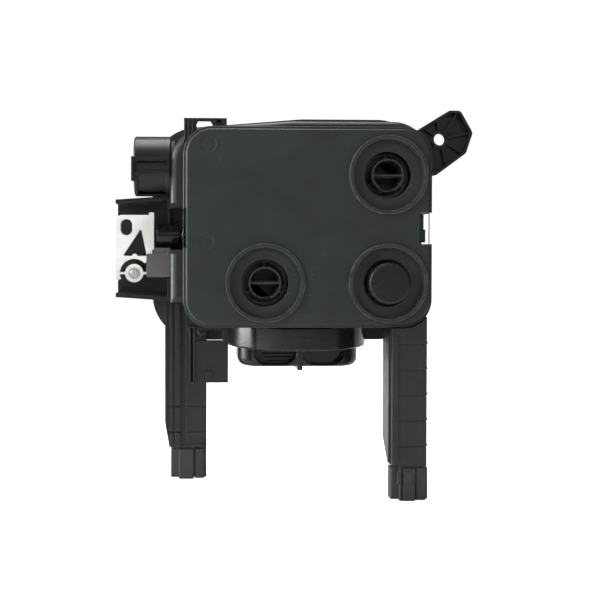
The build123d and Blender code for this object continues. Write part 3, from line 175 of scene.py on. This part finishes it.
def step_up(tree, value, low, high):
    """Smooth step from 0 at low to 1 at high."""
    node = tree.nodes.new("ShaderNodeMapRange")
    node.interpolation_type = "SMOOTHSTEP"
    node.inputs["From Min"].default_value = low
    node.inputs["From Max"].default_value = high
    tree.links.new(value, node.inputs["Value"])
    return node.outputs["Result"]


def blend_colour(tree, factor, first, second):
    """Mixes two colours by a factor."""
    node = tree.nodes.new("ShaderNodeMix")
    node.data_type = "RGBA"
    tree.links.new(factor, node.inputs["Factor"])
    plug(tree, first, [s for s in node.inputs if s.name == "A" and s.type == "RGBA"][0])
    plug(tree, second, [s for s in node.inputs if s.name == "B" and s.type == "RGBA"][0])
    return [s for s in node.outputs if s.type == "RGBA"][0]


def on_object(tree):
    """The object's own coordinates."""
    return tree.nodes.new("ShaderNodeTexCoord").outputs["Object"]


def build_mould_grain():
    """Spark-eroded grain, with slow patches where the mould was worn smooth."""
    group, start, end = group_shell(
        "mould_grain", [("Grain Size", 900.0)], [("Height", "NodeSocketFloat"), ("Patch", "NodeSocketFloat")]
    )
    place = on_object(group)
    fine = cloud(group, place, start.outputs["Grain Size"], 3.0, 0.6)
    patch = step_up(group, cloud(group, place, 26.0, 4.0, 0.6, 0.6), 0.34, 0.70)
    height = sum_of(group, "MULTIPLY", fine, sum_of(group, "SUBTRACT", 1.0, patch))
    group.links.new(height, end.inputs["Height"])
    group.links.new(patch, end.inputs["Patch"])
    return group


def build_edge_rub():
    """Rounded edge normal, and a mask of the edges that handling has rubbed pale."""
    group, start, end = group_shell(
        "edge_rub", [("Amount", 0.5)], [("Normal", "NodeSocketVector"), ("Rub", "NodeSocketFloat")]
    )
    bevel = group.nodes.new("ShaderNodeBevel")
    bevel.samples = 6
    bevel.inputs["Radius"].default_value = 0.0005
    face = group.nodes.new("ShaderNodeNewGeometry")
    turn = group.nodes.new("ShaderNodeVectorMath")
    turn.operation = "DOT_PRODUCT"
    group.links.new(bevel.outputs["Normal"], turn.inputs[0])
    group.links.new(face.outputs["Normal"], turn.inputs[1])
    bend = sum_of(group, "SUBTRACT", 1.0, turn.outputs["Value"])
    broken = step_up(group, cloud(group, on_object(group), 210.0, 4.0, 0.7), 0.34, 0.62)
    rub = sum_of(group, "MULTIPLY", step_up(group, bend, 0.01, 0.14), broken)
    group.links.new(sum_of(group, "MULTIPLY", rub, start.outputs["Amount"], clamp=True), end.inputs["Rub"])
    group.links.new(bevel.outputs["Normal"], end.inputs["Normal"])
    return group


def build_shelf_wear():
    """Short hairline scratches in three directions, blunt scuffs, and dust on faces that look up."""
    group, start, end = group_shell(
        "shelf_wear", [("Scuffs", 0.4), ("Dust", 0.3)],
        [("Scuff", "NodeSocketFloat"), ("Dust", "NodeSocketFloat")],
    )
    place = on_object(group)
    marks = None
    for tilt, across in ((0.5, 1500.0), (-0.85, 1900.0), (1.3, 1700.0)):
        lay = group.nodes.new("ShaderNodeMapping")
        lay.inputs["Rotation"].default_value = (0, tilt, 0)
        lay.inputs["Scale"].default_value = (90.0, 90.0, across)
        group.links.new(place, lay.inputs["Vector"])
        line = step_up(group, cloud(group, lay.outputs["Vector"], 1.0, 2.0, 0.4), 0.69, 0.74)
        marks = line if marks is None else sum_of(group, "MAXIMUM", marks, line)
    where = step_up(group, cloud(group, place, 24.0, 3.0, 0.6), 0.50, 0.62)
    marks = sum_of(group, "MULTIPLY", marks, where)
    blunt = step_up(group, cloud(group, place, 60.0, 6.0, 0.75, 1.2), 0.60, 0.78)
    marks = sum_of(group, "ADD", marks, sum_of(group, "MULTIPLY", blunt, 0.35))
    scuff = sum_of(group, "MULTIPLY", marks, start.outputs["Scuffs"], clamp=True)
    group.links.new(scuff, end.inputs["Scuff"])
    split = group.nodes.new("ShaderNodeSeparateXYZ")
    group.links.new(group.nodes.new("ShaderNodeNewGeometry").outputs["Normal"], split.inputs["Vector"])
    speck = step_up(group, cloud(group, place, 620.0, 3.0, 0.7), 0.42, 0.72)
    dust = sum_of(group, "MULTIPLY", step_up(group, split.outputs["Z"], 0.25, 0.95), speck)
    group.links.new(sum_of(group, "MULTIPLY", dust, start.outputs["Dust"], clamp=True), end.inputs["Dust"])
    return group


MOULD_GRAIN = build_mould_grain()
EDGE_RUB = build_edge_rub()
SHELF_WEAR = build_shelf_wear()


def place_group(tree, group, **values):
    """One use of a node group, with its own values."""
    node = tree.nodes.new("ShaderNodeGroup")
    node.node_tree = group
    for name, value in values.items():
        node.inputs[name.replace("_", " ")].default_value = value
    return node


def moulded(
    name, shade, roughness, grain=900.0, relief=0.00005,
    scuffs=0.3, dust=0.06, rub=0.4, gloss=0.32, extra=None,
):
    """Moulded plastic of one shade (three numbers). extra(tree) may give a further mask of rubbed places."""
    material = bpy.data.materials.new(name)
    material.use_nodes = True
    tree = material.node_tree
    shader = tree.nodes["Principled BSDF"]
    shader.inputs["Specular IOR Level"].default_value = gloss
    grain_node = place_group(tree, MOULD_GRAIN, Grain_Size=grain)
    rub_node = place_group(tree, EDGE_RUB, Amount=rub)
    wear = place_group(tree, SHELF_WEAR, Scuffs=scuffs, Dust=dust)
    dark = (*shade, 1)
    light = (*(channel * 1.35 for channel in shade), 1)
    bright = max(shade)
    rubbed = (*(min(0.9, channel * 2.2 + 0.07 * (1 - bright)) for channel in shade), 1)
    colour = blend_colour(tree, grain_node.outputs["Patch"], dark, light)
    worn = sum_of(tree, "MAXIMUM", wear.outputs["Scuff"], rub_node.outputs["Rub"])
    if extra:
        worn = sum_of(tree, "MAXIMUM", worn, extra(tree))
    colour = blend_colour(tree, worn, colour, rubbed)
    colour = blend_colour(tree, wear.outputs["Dust"], colour, (0.30, 0.29, 0.27, 1))
    tree.links.new(colour, shader.inputs["Base Color"])
    rough = sum_of(tree, "ADD", sum_of(tree, "MULTIPLY", grain_node.outputs["Patch"], -0.10), roughness)
    rough = sum_of(tree, "ADD", rough, sum_of(tree, "MULTIPLY", worn, 0.2), clamp=True)
    tree.links.new(rough, shader.inputs["Roughness"])
    bump = tree.nodes.new("ShaderNodeBump")
    bump.inputs["Strength"].default_value = 0.6
    bump.inputs["Distance"].default_value = relief
    tree.links.new(grain_node.outputs["Height"], bump.inputs["Height"])
    tree.links.new(rub_node.outputs["Normal"], bump.inputs["Normal"])
    tree.links.new(bump.outputs["Normal"], shader.inputs["Normal"])
    return material


def dress(material, *names):
    """Gives carried-over nodes their material."""
    for name in names:
        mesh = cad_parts[name].data
        mesh.materials.clear()
        mesh.materials.append(material)


def collar_scuff(tree):
    """Mask of the three collars' rims, where spigots and packing have scraped them."""
    place = on_object(tree)
    mask = None
    for x, z in ((0.037, 0.0325), (0.037, -0.0325), (-0.037, -0.0325)):
        lay = tree.nodes.new("ShaderNodeMapping")
        lay.inputs["Location"].default_value = (-x, 0, -z)
        lay.inputs["Scale"].default_value = (1, 0, 1)
        tree.links.new(place, lay.inputs["Vector"])
        length = tree.nodes.new("ShaderNodeVectorMath")
        length.operation = "LENGTH"
        tree.links.new(lay.outputs["Vector"], length.inputs[0])
        for edge_r, strength in ((0.02355, 1.0), (0.02160, 0.55)):
            off = sum_of(tree, "ABSOLUTE", sum_of(tree, "SUBTRACT", length.outputs["Value"], edge_r), 0)
            rim = sum_of(tree, "SUBTRACT", 1.0, step_up(tree, off, 0.0001, 0.0006))
            rim = sum_of(tree, "MULTIPLY", rim, strength)
            mask = rim if mask is None else sum_of(tree, "MAXIMUM", mask, rim)
    chips = step_up(tree, cloud(tree, place, 150.0, 6.0, 0.75), 0.36, 0.66)
    return sum_of(tree, "MULTIPLY", sum_of(tree, "MULTIPLY", mask, chips), 0.85)


LID_SHADE = (0.0165, 0.0195, 0.0200)
LID_BLACK = moulded("lid_black", LID_SHADE, 0.50, scuffs=0.5, rub=0.6, extra=collar_scuff)
dress(LID_BLACK, "front_lid", "lid_cheeks")

# ---------------------------------------------------------------- weld bead
# The lid is hot-plate welded to the body, and a thin uneven bead of its own plastic is squeezed
# out along the joint all the way round.


def field(tree, label, value, kind="NodeSocketFloat"):
    """Named input of a geometry tree."""
    socket = tree.interface.new_socket(label, in_out="INPUT", socket_type=kind)
    if value is not None:
        socket.default_value = value


def add_node(tree, kind, links=(), **settings):
    """Node of one kind with its settings, its inputs set or joined by (input, value or socket) pairs."""
    node = tree.nodes.new(kind)
    for name, value in settings.items():
        setattr(node, name, value)
    for label, value in links:
        plug(tree, value, node.inputs[label])
    return node


def end_tree(tree, geometry, finish, label):
    """Ends a tree: copies made real, the finish set, and the result joined to the named output."""
    real = add_node(tree, "GeometryNodeRealizeInstances", [("Geometry", geometry)])
    coated = add_node(
        tree, "GeometryNodeSetMaterial", [("Geometry", real.outputs["Geometry"]), ("Material", finish)]
    )
    tree.links.new(coated.outputs["Geometry"], tree.nodes.new("NodeGroupOutput").inputs[label])


def grown_mesh(name, start_mesh, tree, **values):
    """Runs a geometry tree on a start mesh and keeps the result as a plain mesh object."""
    piece = bpy.data.objects.new(name, start_mesh)
    bpy.context.scene.collection.objects.link(piece)
    grower = piece.modifiers.new("grower", "NODES")
    grower.node_group = tree
    for item in tree.interface.items_tree:
        if item.in_out == "INPUT" and item.name.replace(" ", "_") in values:
            grower[item.identifier] = values[item.name.replace(" ", "_")]
    plain = bpy.data.meshes.new_from_object(piece.evaluated_get(bpy.context.evaluated_depsgraph_get()))
    piece.modifiers.clear()
    # A cut leaves an empty slot before the finish, so the finish is made the only one.
    plain.materials.clear()
    plain.materials.append(values["Finish"])
    plain.polygons.foreach_set("material_index", [0] * len(plain.polygons))
    piece.data = plain
    return piece


def build_bead():
    """Uneven bead that follows a closed loop of edges."""
    tree = bpy.data.node_groups.new("weld_bead", "GeometryNodeTree")
    field(tree, "Loop", None, "NodeSocketGeometry")
    field(tree, "Bead Radius", 0.0003)
    field(tree, "Step", 0.0008)
    field(tree, "Unevenness", 0.5)
    field(tree, "Finish", None, "NodeSocketMaterial")
    tree.interface.new_socket("Bead", in_out="OUTPUT", socket_type="NodeSocketGeometry")
    given = tree.nodes.new("NodeGroupInput").outputs
    path = add_node(tree, "GeometryNodeMeshToCurve", [("Mesh", given["Loop"])])
    even = add_node(tree, "GeometryNodeResampleCurve", [("Curve", path.outputs["Curve"])], mode="LENGTH")
    plug(tree, given["Step"], even.inputs["Length"])
    swell = add_node(tree, "ShaderNodeTexNoise", [("Scale", 260.0), ("Detail", 2.0)])
    swing = sum_of(tree, "MULTIPLY", sum_of(tree, "SUBTRACT", swell.outputs["Fac"], 0.5), given["Unevenness"])
    width = sum_of(tree, "ADD", swing, 1.0)
    ring = add_node(
        tree, "GeometryNodeCurvePrimitiveCircle", [("Resolution", 8), ("Radius", given["Bead Radius"])]
    )
    tube = add_node(
        tree, "GeometryNodeCurveToMesh",
        [("Curve", even.outputs["Curve"]), ("Profile Curve", ring.outputs["Curve"]), ("Scale", width)],
    )
    smooth = add_node(tree, "GeometryNodeSetShadeSmooth", [("Geometry", tube.outputs["Mesh"])])
    end_tree(tree, smooth.outputs["Geometry"], given["Finish"], "Bead")
    return tree


LID_LOW, LID_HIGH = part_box("front_lid")
JOINT_Y = 0.0092
CORNER_R = 0.017
loop_points = []
for centre_x, centre_z, quarter in (
    (LID_HIGH.x - CORNER_R, LID_HIGH.z - CORNER_R, 0), (LID_LOW.x + CORNER_R, LID_HIGH.z - CORNER_R, 1),
    (LID_LOW.x + CORNER_R, LID_LOW.z + CORNER_R, 2), (LID_HIGH.x - CORNER_R, LID_LOW.z + CORNER_R, 3),
):
    for step in range(9):
        angle = math.radians(90 * quarter + 90 * step / 8)
        across, up = CORNER_R * math.cos(angle), CORNER_R * math.sin(angle)
        loop_points.append((centre_x + across, JOINT_Y, centre_z + up))
bead_loop = bpy.data.meshes.new("bead_loop")
bead_loop.from_pydata(loop_points, [(i, (i + 1) % len(loop_points)) for i in range(len(loop_points))], [])
BEAD_SHADE = (0.012, 0.013, 0.013)
BEAD_BLACK = moulded("bead_black", BEAD_SHADE, 0.34, grain=1600.0, relief=0.00001, scuffs=0.1, rub=0.0)
weld_bead = grown_mesh(
    "weld_bead", bead_loop, build_bead(), Bead_Radius=0.0003, Step=0.0008, Finish=BEAD_BLACK
)
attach(weld_bead, "housing")

# ---------------------------------------------------------------- port guides and selector
# Thin split rings with a cross web, moulded in a smoother black, stand in the open ports. Behind
# them are the port plate and the selector disc, which turns on a ground steel spindle.
INNER_BLACK = moulded("inner_black", (0.0065, 0.0068, 0.0066), 0.50, scuffs=0.08, dust=0.0, rub=0.25)
# The guides' strong edge rub pales their ring fronts: partly wear, partly a painted highlight.
GUIDE_BLACK_RUB_AND_HIGHLIGHT = moulded("guide_black", (0.020, 0.021, 0.020), 0.40, scuffs=0.15, dust=0.0, rub=0.7)
dress(GUIDE_BLACK_RUB_AND_HIGHLIGHT, "port_guide_a", "port_guide_b", "port_guide_c")
dress(INNER_BLACK, "port_plate", "selector_disc", "strainer_basket", "motor_end_cap", "limit_switches")
NYLON = moulded("gear_nylon", (0.58, 0.55, 0.49), 0.40, scuffs=0.05, dust=0.0, rub=0.0)
dress(NYLON, "output_gear", "idler_gear")

# ---------------------------------------------------------------- blanking cap
# Soft shallow cup in polished black, pushed over the guide of the unused port. It has a low
# raised ring round its face, where the moulding was gated, and a grip bead round its side.
CAP_SHADE = (0.0100, 0.0115, 0.0105)
CAP_BLACK = moulded("cap_black", CAP_SHADE, 0.33, grain=1700.0, relief=0.00001, scuffs=0.22, rub=0.35)
dress(CAP_BLACK, "blanking_cap")

# ---------------------------------------------------------------- body, casing and their brackets
# The chamber, the rear casing and the brackets are the same black polypropylene. The casing was moulded in a
# coarser tool; the brackets are smoother and shine more, and their darker shade is painted shade for the deep
# channel.
dress(moulded("body_black", (0.0150, 0.0162, 0.0162), 0.46), "valve_body", "side_latch")
CASING_BLACK = moulded("casing_black", (0.0200, 0.0205, 0.0205), 0.48, grain=620.0, relief=0.00009)
dress(CASING_BLACK, "rear_casing", "connector_shroud")
# Darker than the body: painted shade for the shadowed inside of the channel, shared by the harness clip and
# the clip plate.
BRACKET_SHADED_BLACK = moulded("bracket_black", (0.0105, 0.0108, 0.0102), 0.38, scuffs=0.25)
dress(BRACKET_SHADED_BLACK, "channel_bracket", "harness_clip", "clip_plate")
# The side inlet is painted darker than the body: painted shade for its shadowed lower half.
dress(moulded("tube_black", (0.0070, 0.0078, 0.0078), 0.42, scuffs=0.2), "side_inlet")
dress(moulded("arm_black", (0.0075, 0.0083, 0.0096), 0.46, scuffs=0.2), "mounting_arm")

# ---------------------------------------------------------------- service cap
# Polished black twist-off cap with a finned grip, over the strainer. Its sides are smooth enough
# to mirror the room in long soft bands.
POLISHED = {"grain": 1500.0, "relief": 0.00001}
SERVICE_SHADE = (0.0080, 0.0092, 0.0090)
dress(moulded("service_black", SERVICE_SHADE, 0.24, scuffs=0.2, rub=0.35, **POLISHED), "service_cap")

# ---------------------------------------------------------------- override lever, strap and plunger
# A flat white acetal lever, a grey strap that keeps its foot in the channel, and the glossy black
# drum that it pushes. A stainless spring works inside the drum.
dress(moulded("lever_white", (0.62, 0.61, 0.59), 0.46, scuffs=0.05, dust=0.05, rub=0.0), "override_lever")
dress(moulded("strap_grey", (0.085, 0.083, 0.080), 0.26, scuffs=0.15, **POLISHED), "lever_strap")
dress(moulded("drum_black", (0.0070, 0.0070, 0.0068), 0.22, scuffs=0.1, **POLISHED), "override_plunger")

# ---------------------------------------------------------------- legs and feet
# Hollow struts in the casing's plastic, lightly satin from the tool, with cross-shaped end blocks.
LEG_BLACK = moulded("leg_black", (0.0165, 0.0175, 0.0172), 0.38, scuffs=0.3, rub=0.5)
dress(LEG_BLACK, "left_leg", "right_leg")
dress(moulded("foot_black", (0.0290, 0.0295, 0.0290), 0.44, scuffs=0.4, rub=0.6), "left_foot", "right_foot")

# ---------------------------------------------------------------- seals and board
# Black nitrile rings and gaskets, and the control board under green solder mask.
RUBBER = moulded("rubber_black", (0.014, 0.014, 0.014), 0.7, grain=700.0, relief=0.00008, scuffs=0.1, rub=0.1)
dress(RUBBER, "lid_gasket", "port_seals", "spindle_seal", "plunger_seal", "inlet_seal", "cap_oring")
dress(moulded("board_green", (0.012, 0.11, 0.045), 0.35, scuffs=0.0, dust=0.0, rub=0.0), "circuit_board")

# ---------------------------------------------------------------- metal parts
# Ground steel on the spindle, axle, motor and gear plate, and turned brass in the bushes and pins.


def turned(name, colour, roughness):
    """Turned or drawn metal with fine tool lines and faint stains."""
    material = bpy.data.materials.new(name)
    material.use_nodes = True
    tree = material.node_tree
    shader = tree.nodes["Principled BSDF"]
    shader.inputs["Metallic"].default_value = 1.0
    place = on_object(tree)
    stain = step_up(tree, cloud(tree, place, 140.0, 4.0, 0.6), 0.35, 0.7)
    darker = (*(channel * 0.6 for channel in colour), 1)
    tree.links.new(blend_colour(tree, stain, (*colour, 1), darker), shader.inputs["Base Color"])
    rough = sum_of(tree, "ADD", sum_of(tree, "MULTIPLY", stain, 0.15), roughness)
    tree.links.new(rough, shader.inputs["Roughness"])
    bump = tree.nodes.new("ShaderNodeBump")
    bump.inputs["Distance"].default_value = 0.00002
    tree.links.new(cloud(tree, place, 1800.0), bump.inputs["Height"])
    tree.links.new(bump.outputs["Normal"], shader.inputs["Normal"])
    return material


STEEL = turned("turned_steel", (0.60, 0.60, 0.60), 0.28)
dress(STEEL, "spindle", "idler_axle", "motor_can", "motor_shaft", "gear_plate")
dress(turned("turned_brass", (0.72, 0.53, 0.25), 0.30), "spindle_bush", "plunger_bush", "connector_pins")
BLACK_OXIDE = turned("black_oxide", (0.055, 0.055, 0.058), 0.36)
dress(BLACK_OXIDE, "arm_bush")
dress(turned("zinc_plate", (0.78, 0.77, 0.74), 0.32), "pivot_screw")

# ---------------------------------------------------------------- plunger spring
# Coil of stainless wire inside the plunger's drum. One end sits in the drum and the other stands against the
# bush; the whole coil is attached to the plunger and moves with it.


def loose_points(name, points):
    """Mesh of single points, one for each place that takes a copy."""
    mesh = bpy.data.meshes.new(name)
    mesh.from_pydata(points, [], [])
    return mesh


def build_coil():
    """Round-wire coil that starts at each loose point and runs along +X."""
    tree = bpy.data.node_groups.new("wire_coil", "GeometryNodeTree")
    field(tree, "Places", None, "NodeSocketGeometry")
    for label, value in (
        ("Coil Radius", 0.0043), ("Wire Radius", 0.00045), ("Turns", 6.0), ("Length", 0.0155)
    ):
        field(tree, label, value)
    field(tree, "Finish", None, "NodeSocketMaterial")
    tree.interface.new_socket("Coil", in_out="OUTPUT", socket_type="NodeSocketGeometry")
    given = tree.nodes.new("NodeGroupInput").outputs
    path = add_node(
        tree, "GeometryNodeCurveSpiral",
        [("Resolution", 32), ("Rotations", given["Turns"]), ("Start Radius", given["Coil Radius"]),
         ("End Radius", given["Coil Radius"]), ("Height", given["Length"])],
    )
    wire = add_node(
        tree, "GeometryNodeCurvePrimitiveCircle", [("Resolution", 10), ("Radius", given["Wire Radius"])]
    )
    drawn = add_node(
        tree, "GeometryNodeCurveToMesh",
        [("Curve", path.outputs["Curve"]), ("Profile Curve", wire.outputs["Curve"]), ("Fill Caps", True)],
    )
    lay = add_node(tree, "ShaderNodeCombineXYZ", [("Y", math.radians(90))])
    placed = add_node(
        tree, "GeometryNodeInstanceOnPoints",
        [("Points", given["Places"]), ("Instance", drawn.outputs["Mesh"]),
         ("Rotation", lay.outputs["Vector"])],
    )
    end_tree(tree, placed.outputs["Instances"], given["Finish"], "Coil")
    return tree


low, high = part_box("plunger_spring")
WIRE_R = 0.00045
coil_start = (low.x + WIRE_R, (low.y + high.y) / 2, (low.z + high.z) / 2)
plunger_coil = grown_mesh(
    "plunger_coil", loose_points("coil_place", [coil_start]), build_coil(),
    Coil_Radius=(high.y - low.y) / 2 - WIRE_R, Wire_Radius=WIRE_R, Turns=6.0,
    Length=high.x - low.x - 2 * WIRE_R, Finish=STEEL,
)
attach(plunger_coil, "plunger")
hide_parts("plunger_spring")
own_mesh(plunger_coil)

# ---------------------------------------------------------------- screws
# Black thread-forming screws with cross-recessed pan heads: six hold the rear casing to the body
# from behind, and two hold the left leg's strap from the front. Each is driven home at its own turn.


def build_pan_heads():
    """Cross-recessed pan-head screws, one on each loose point, heads away from the shank."""
    tree = bpy.data.node_groups.new("pan_head_screws", "GeometryNodeTree")
    field(tree, "Places", None, "NodeSocketGeometry")
    for label, value in (
        ("Head Radius", 0.0034), ("Head Height", 0.0026), ("Crown", 0.0007), ("Recess Width", 0.0010),
        ("Recess Reach", 0.0040), ("Recess Depth", 0.0013), ("Shank Radius", 0.0017), ("Shank Length", 0.012),
        ("Tip Over", 1.5708),
    ):
        field(tree, label, value)
    field(tree, "Finish", None, "NodeSocketMaterial")
    tree.interface.new_socket("Screws", in_out="OUTPUT", socket_type="NodeSocketGeometry")
    given = tree.nodes.new("NodeGroupInput").outputs

    def at_height(geometry, height):
        place = add_node(tree, "ShaderNodeCombineXYZ", [("Z", height)])
        moved = add_node(
            tree, "GeometryNodeTransform", [("Geometry", geometry), ("Translation", place.outputs["Vector"])]
        )
        return moved.outputs["Geometry"]

    head = add_node(
        tree, "GeometryNodeMeshCylinder",
        [("Vertices", 32), ("Side Segments", 2), ("Fill Segments", 6), ("Radius", given["Head Radius"]),
         ("Depth", given["Head Height"])],
    )
    position = tree.nodes.new("GeometryNodeInputPosition")
    split = add_node(tree, "ShaderNodeSeparateXYZ", [("Vector", position.outputs["Position"])])
    across = sum_of(
        tree, "ADD", sum_of(tree, "MULTIPLY", split.outputs["X"], split.outputs["X"]),
        sum_of(tree, "MULTIPLY", split.outputs["Y"], split.outputs["Y"]),
    )
    full = sum_of(tree, "MULTIPLY", given["Head Radius"], given["Head Radius"])
    share = sum_of(tree, "DIVIDE", across, full)
    upper = sum_of(tree, "GREATER_THAN", split.outputs["Z"], 0.0)
    crowned = sum_of(tree, "MULTIPLY", share, given["Crown"])
    drop = sum_of(tree, "MULTIPLY", crowned, sum_of(tree, "MULTIPLY", upper, -1.0))
    lowered = add_node(tree, "ShaderNodeCombineXYZ", [("Z", drop)])
    domed = add_node(
        tree, "GeometryNodeSetPosition",
        [("Geometry", head.outputs["Mesh"]), ("Offset", lowered.outputs["Vector"])],
    )
    half = sum_of(tree, "MULTIPLY", given["Head Height"], 0.5)
    bars = []
    for order in (("Recess Reach", "Recess Width"), ("Recess Width", "Recess Reach")):
        size = add_node(
            tree, "ShaderNodeCombineXYZ",
            [("X", given[order[0]]), ("Y", given[order[1]]), ("Z", given["Recess Depth"])],
        )
        bar = add_node(tree, "GeometryNodeMeshCube", [("Size", size.outputs["Vector"])])
        bars.append(at_height(bar.outputs["Mesh"], half))
    recessed = domed.outputs["Geometry"]
    for bar in bars:
        cut = add_node(tree, "GeometryNodeMeshBoolean", operation="DIFFERENCE", solver="EXACT")
        tree.links.new(recessed, cut.inputs["Mesh 1"])
        tree.links.new(bar, cut.inputs["Mesh 2"])
        recessed = cut.outputs["Mesh"]
    shank = add_node(
        tree, "GeometryNodeMeshCylinder",
        [("Vertices", 16), ("Radius", given["Shank Radius"]), ("Depth", given["Shank Length"])],
    )
    low = sum_of(tree, "MULTIPLY", sum_of(tree, "ADD", given["Shank Length"], given["Head Height"]), -0.49)
    whole = tree.nodes.new("GeometryNodeJoinGeometry")
    tree.links.new(recessed, whole.inputs["Geometry"])
    tree.links.new(at_height(shank.outputs["Mesh"], low), whole.inputs["Geometry"])
    sunk = at_height(whole.outputs["Geometry"], sum_of(tree, "MULTIPLY", half, -1.0))
    spin = add_node(tree, "FunctionNodeRandomValue", [("Seed", 7)])
    plug(tree, 3.14159, [item for item in spin.inputs if item.name == "Max" and item.type == "VALUE"][0])
    about = add_node(
        tree, "ShaderNodeCombineXYZ", [("Z", [item for item in spin.outputs if item.type == "VALUE"][0])]
    )
    tip = add_node(tree, "ShaderNodeCombineXYZ", [("X", given["Tip Over"])])
    stood = add_node(
        tree, "GeometryNodeInstanceOnPoints",
        [("Points", given["Places"]), ("Instance", sunk), ("Rotation", tip.outputs["Vector"])],
    )
    driven = add_node(
        tree, "GeometryNodeRotateInstances",
        [("Instances", stood.outputs["Instances"]), ("Rotation", about.outputs["Vector"])],
    )
    end_tree(tree, driven.outputs["Instances"], given["Finish"], "Screws")
    return tree


PAN_HEADS = build_pan_heads()
low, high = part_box("casing_screws")
HEAD_R = 0.0034
LOWER_BOSS_PITCH = 0.040
casing_places = [
    (x, high.y, z)
    for x in (low.x + HEAD_R, high.x - HEAD_R)
    for z in (low.z + HEAD_R, low.z + HEAD_R + LOWER_BOSS_PITCH, high.z - HEAD_R)
]
casing_screws = grown_mesh(
    "casing_screw_set", loose_points("casing_screw_places", casing_places), PAN_HEADS,
    Head_Radius=HEAD_R, Shank_Length=0.022, Tip_Over=math.radians(-90), Finish=BLACK_OXIDE,
)
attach(casing_screws, "housing")
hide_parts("casing_screws")

low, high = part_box("leg_screws")
STRAP_HEAD_R = 0.0032
strap_places = [(x, low.y, (low.z + high.z) / 2) for x in (low.x + STRAP_HEAD_R, high.x - STRAP_HEAD_R)]
strap_screws = grown_mesh(
    "leg_screw_set", loose_points("leg_screw_places", strap_places), PAN_HEADS,
    Head_Radius=STRAP_HEAD_R, Head_Height=0.0019, Crown=0.0005, Recess_Depth=0.0012, Shank_Radius=0.0012,
    Shank_Length=0.0006, Tip_Over=math.radians(90), Finish=BLACK_OXIDE,
)
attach(strap_screws, "housing")
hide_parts("leg_screws")
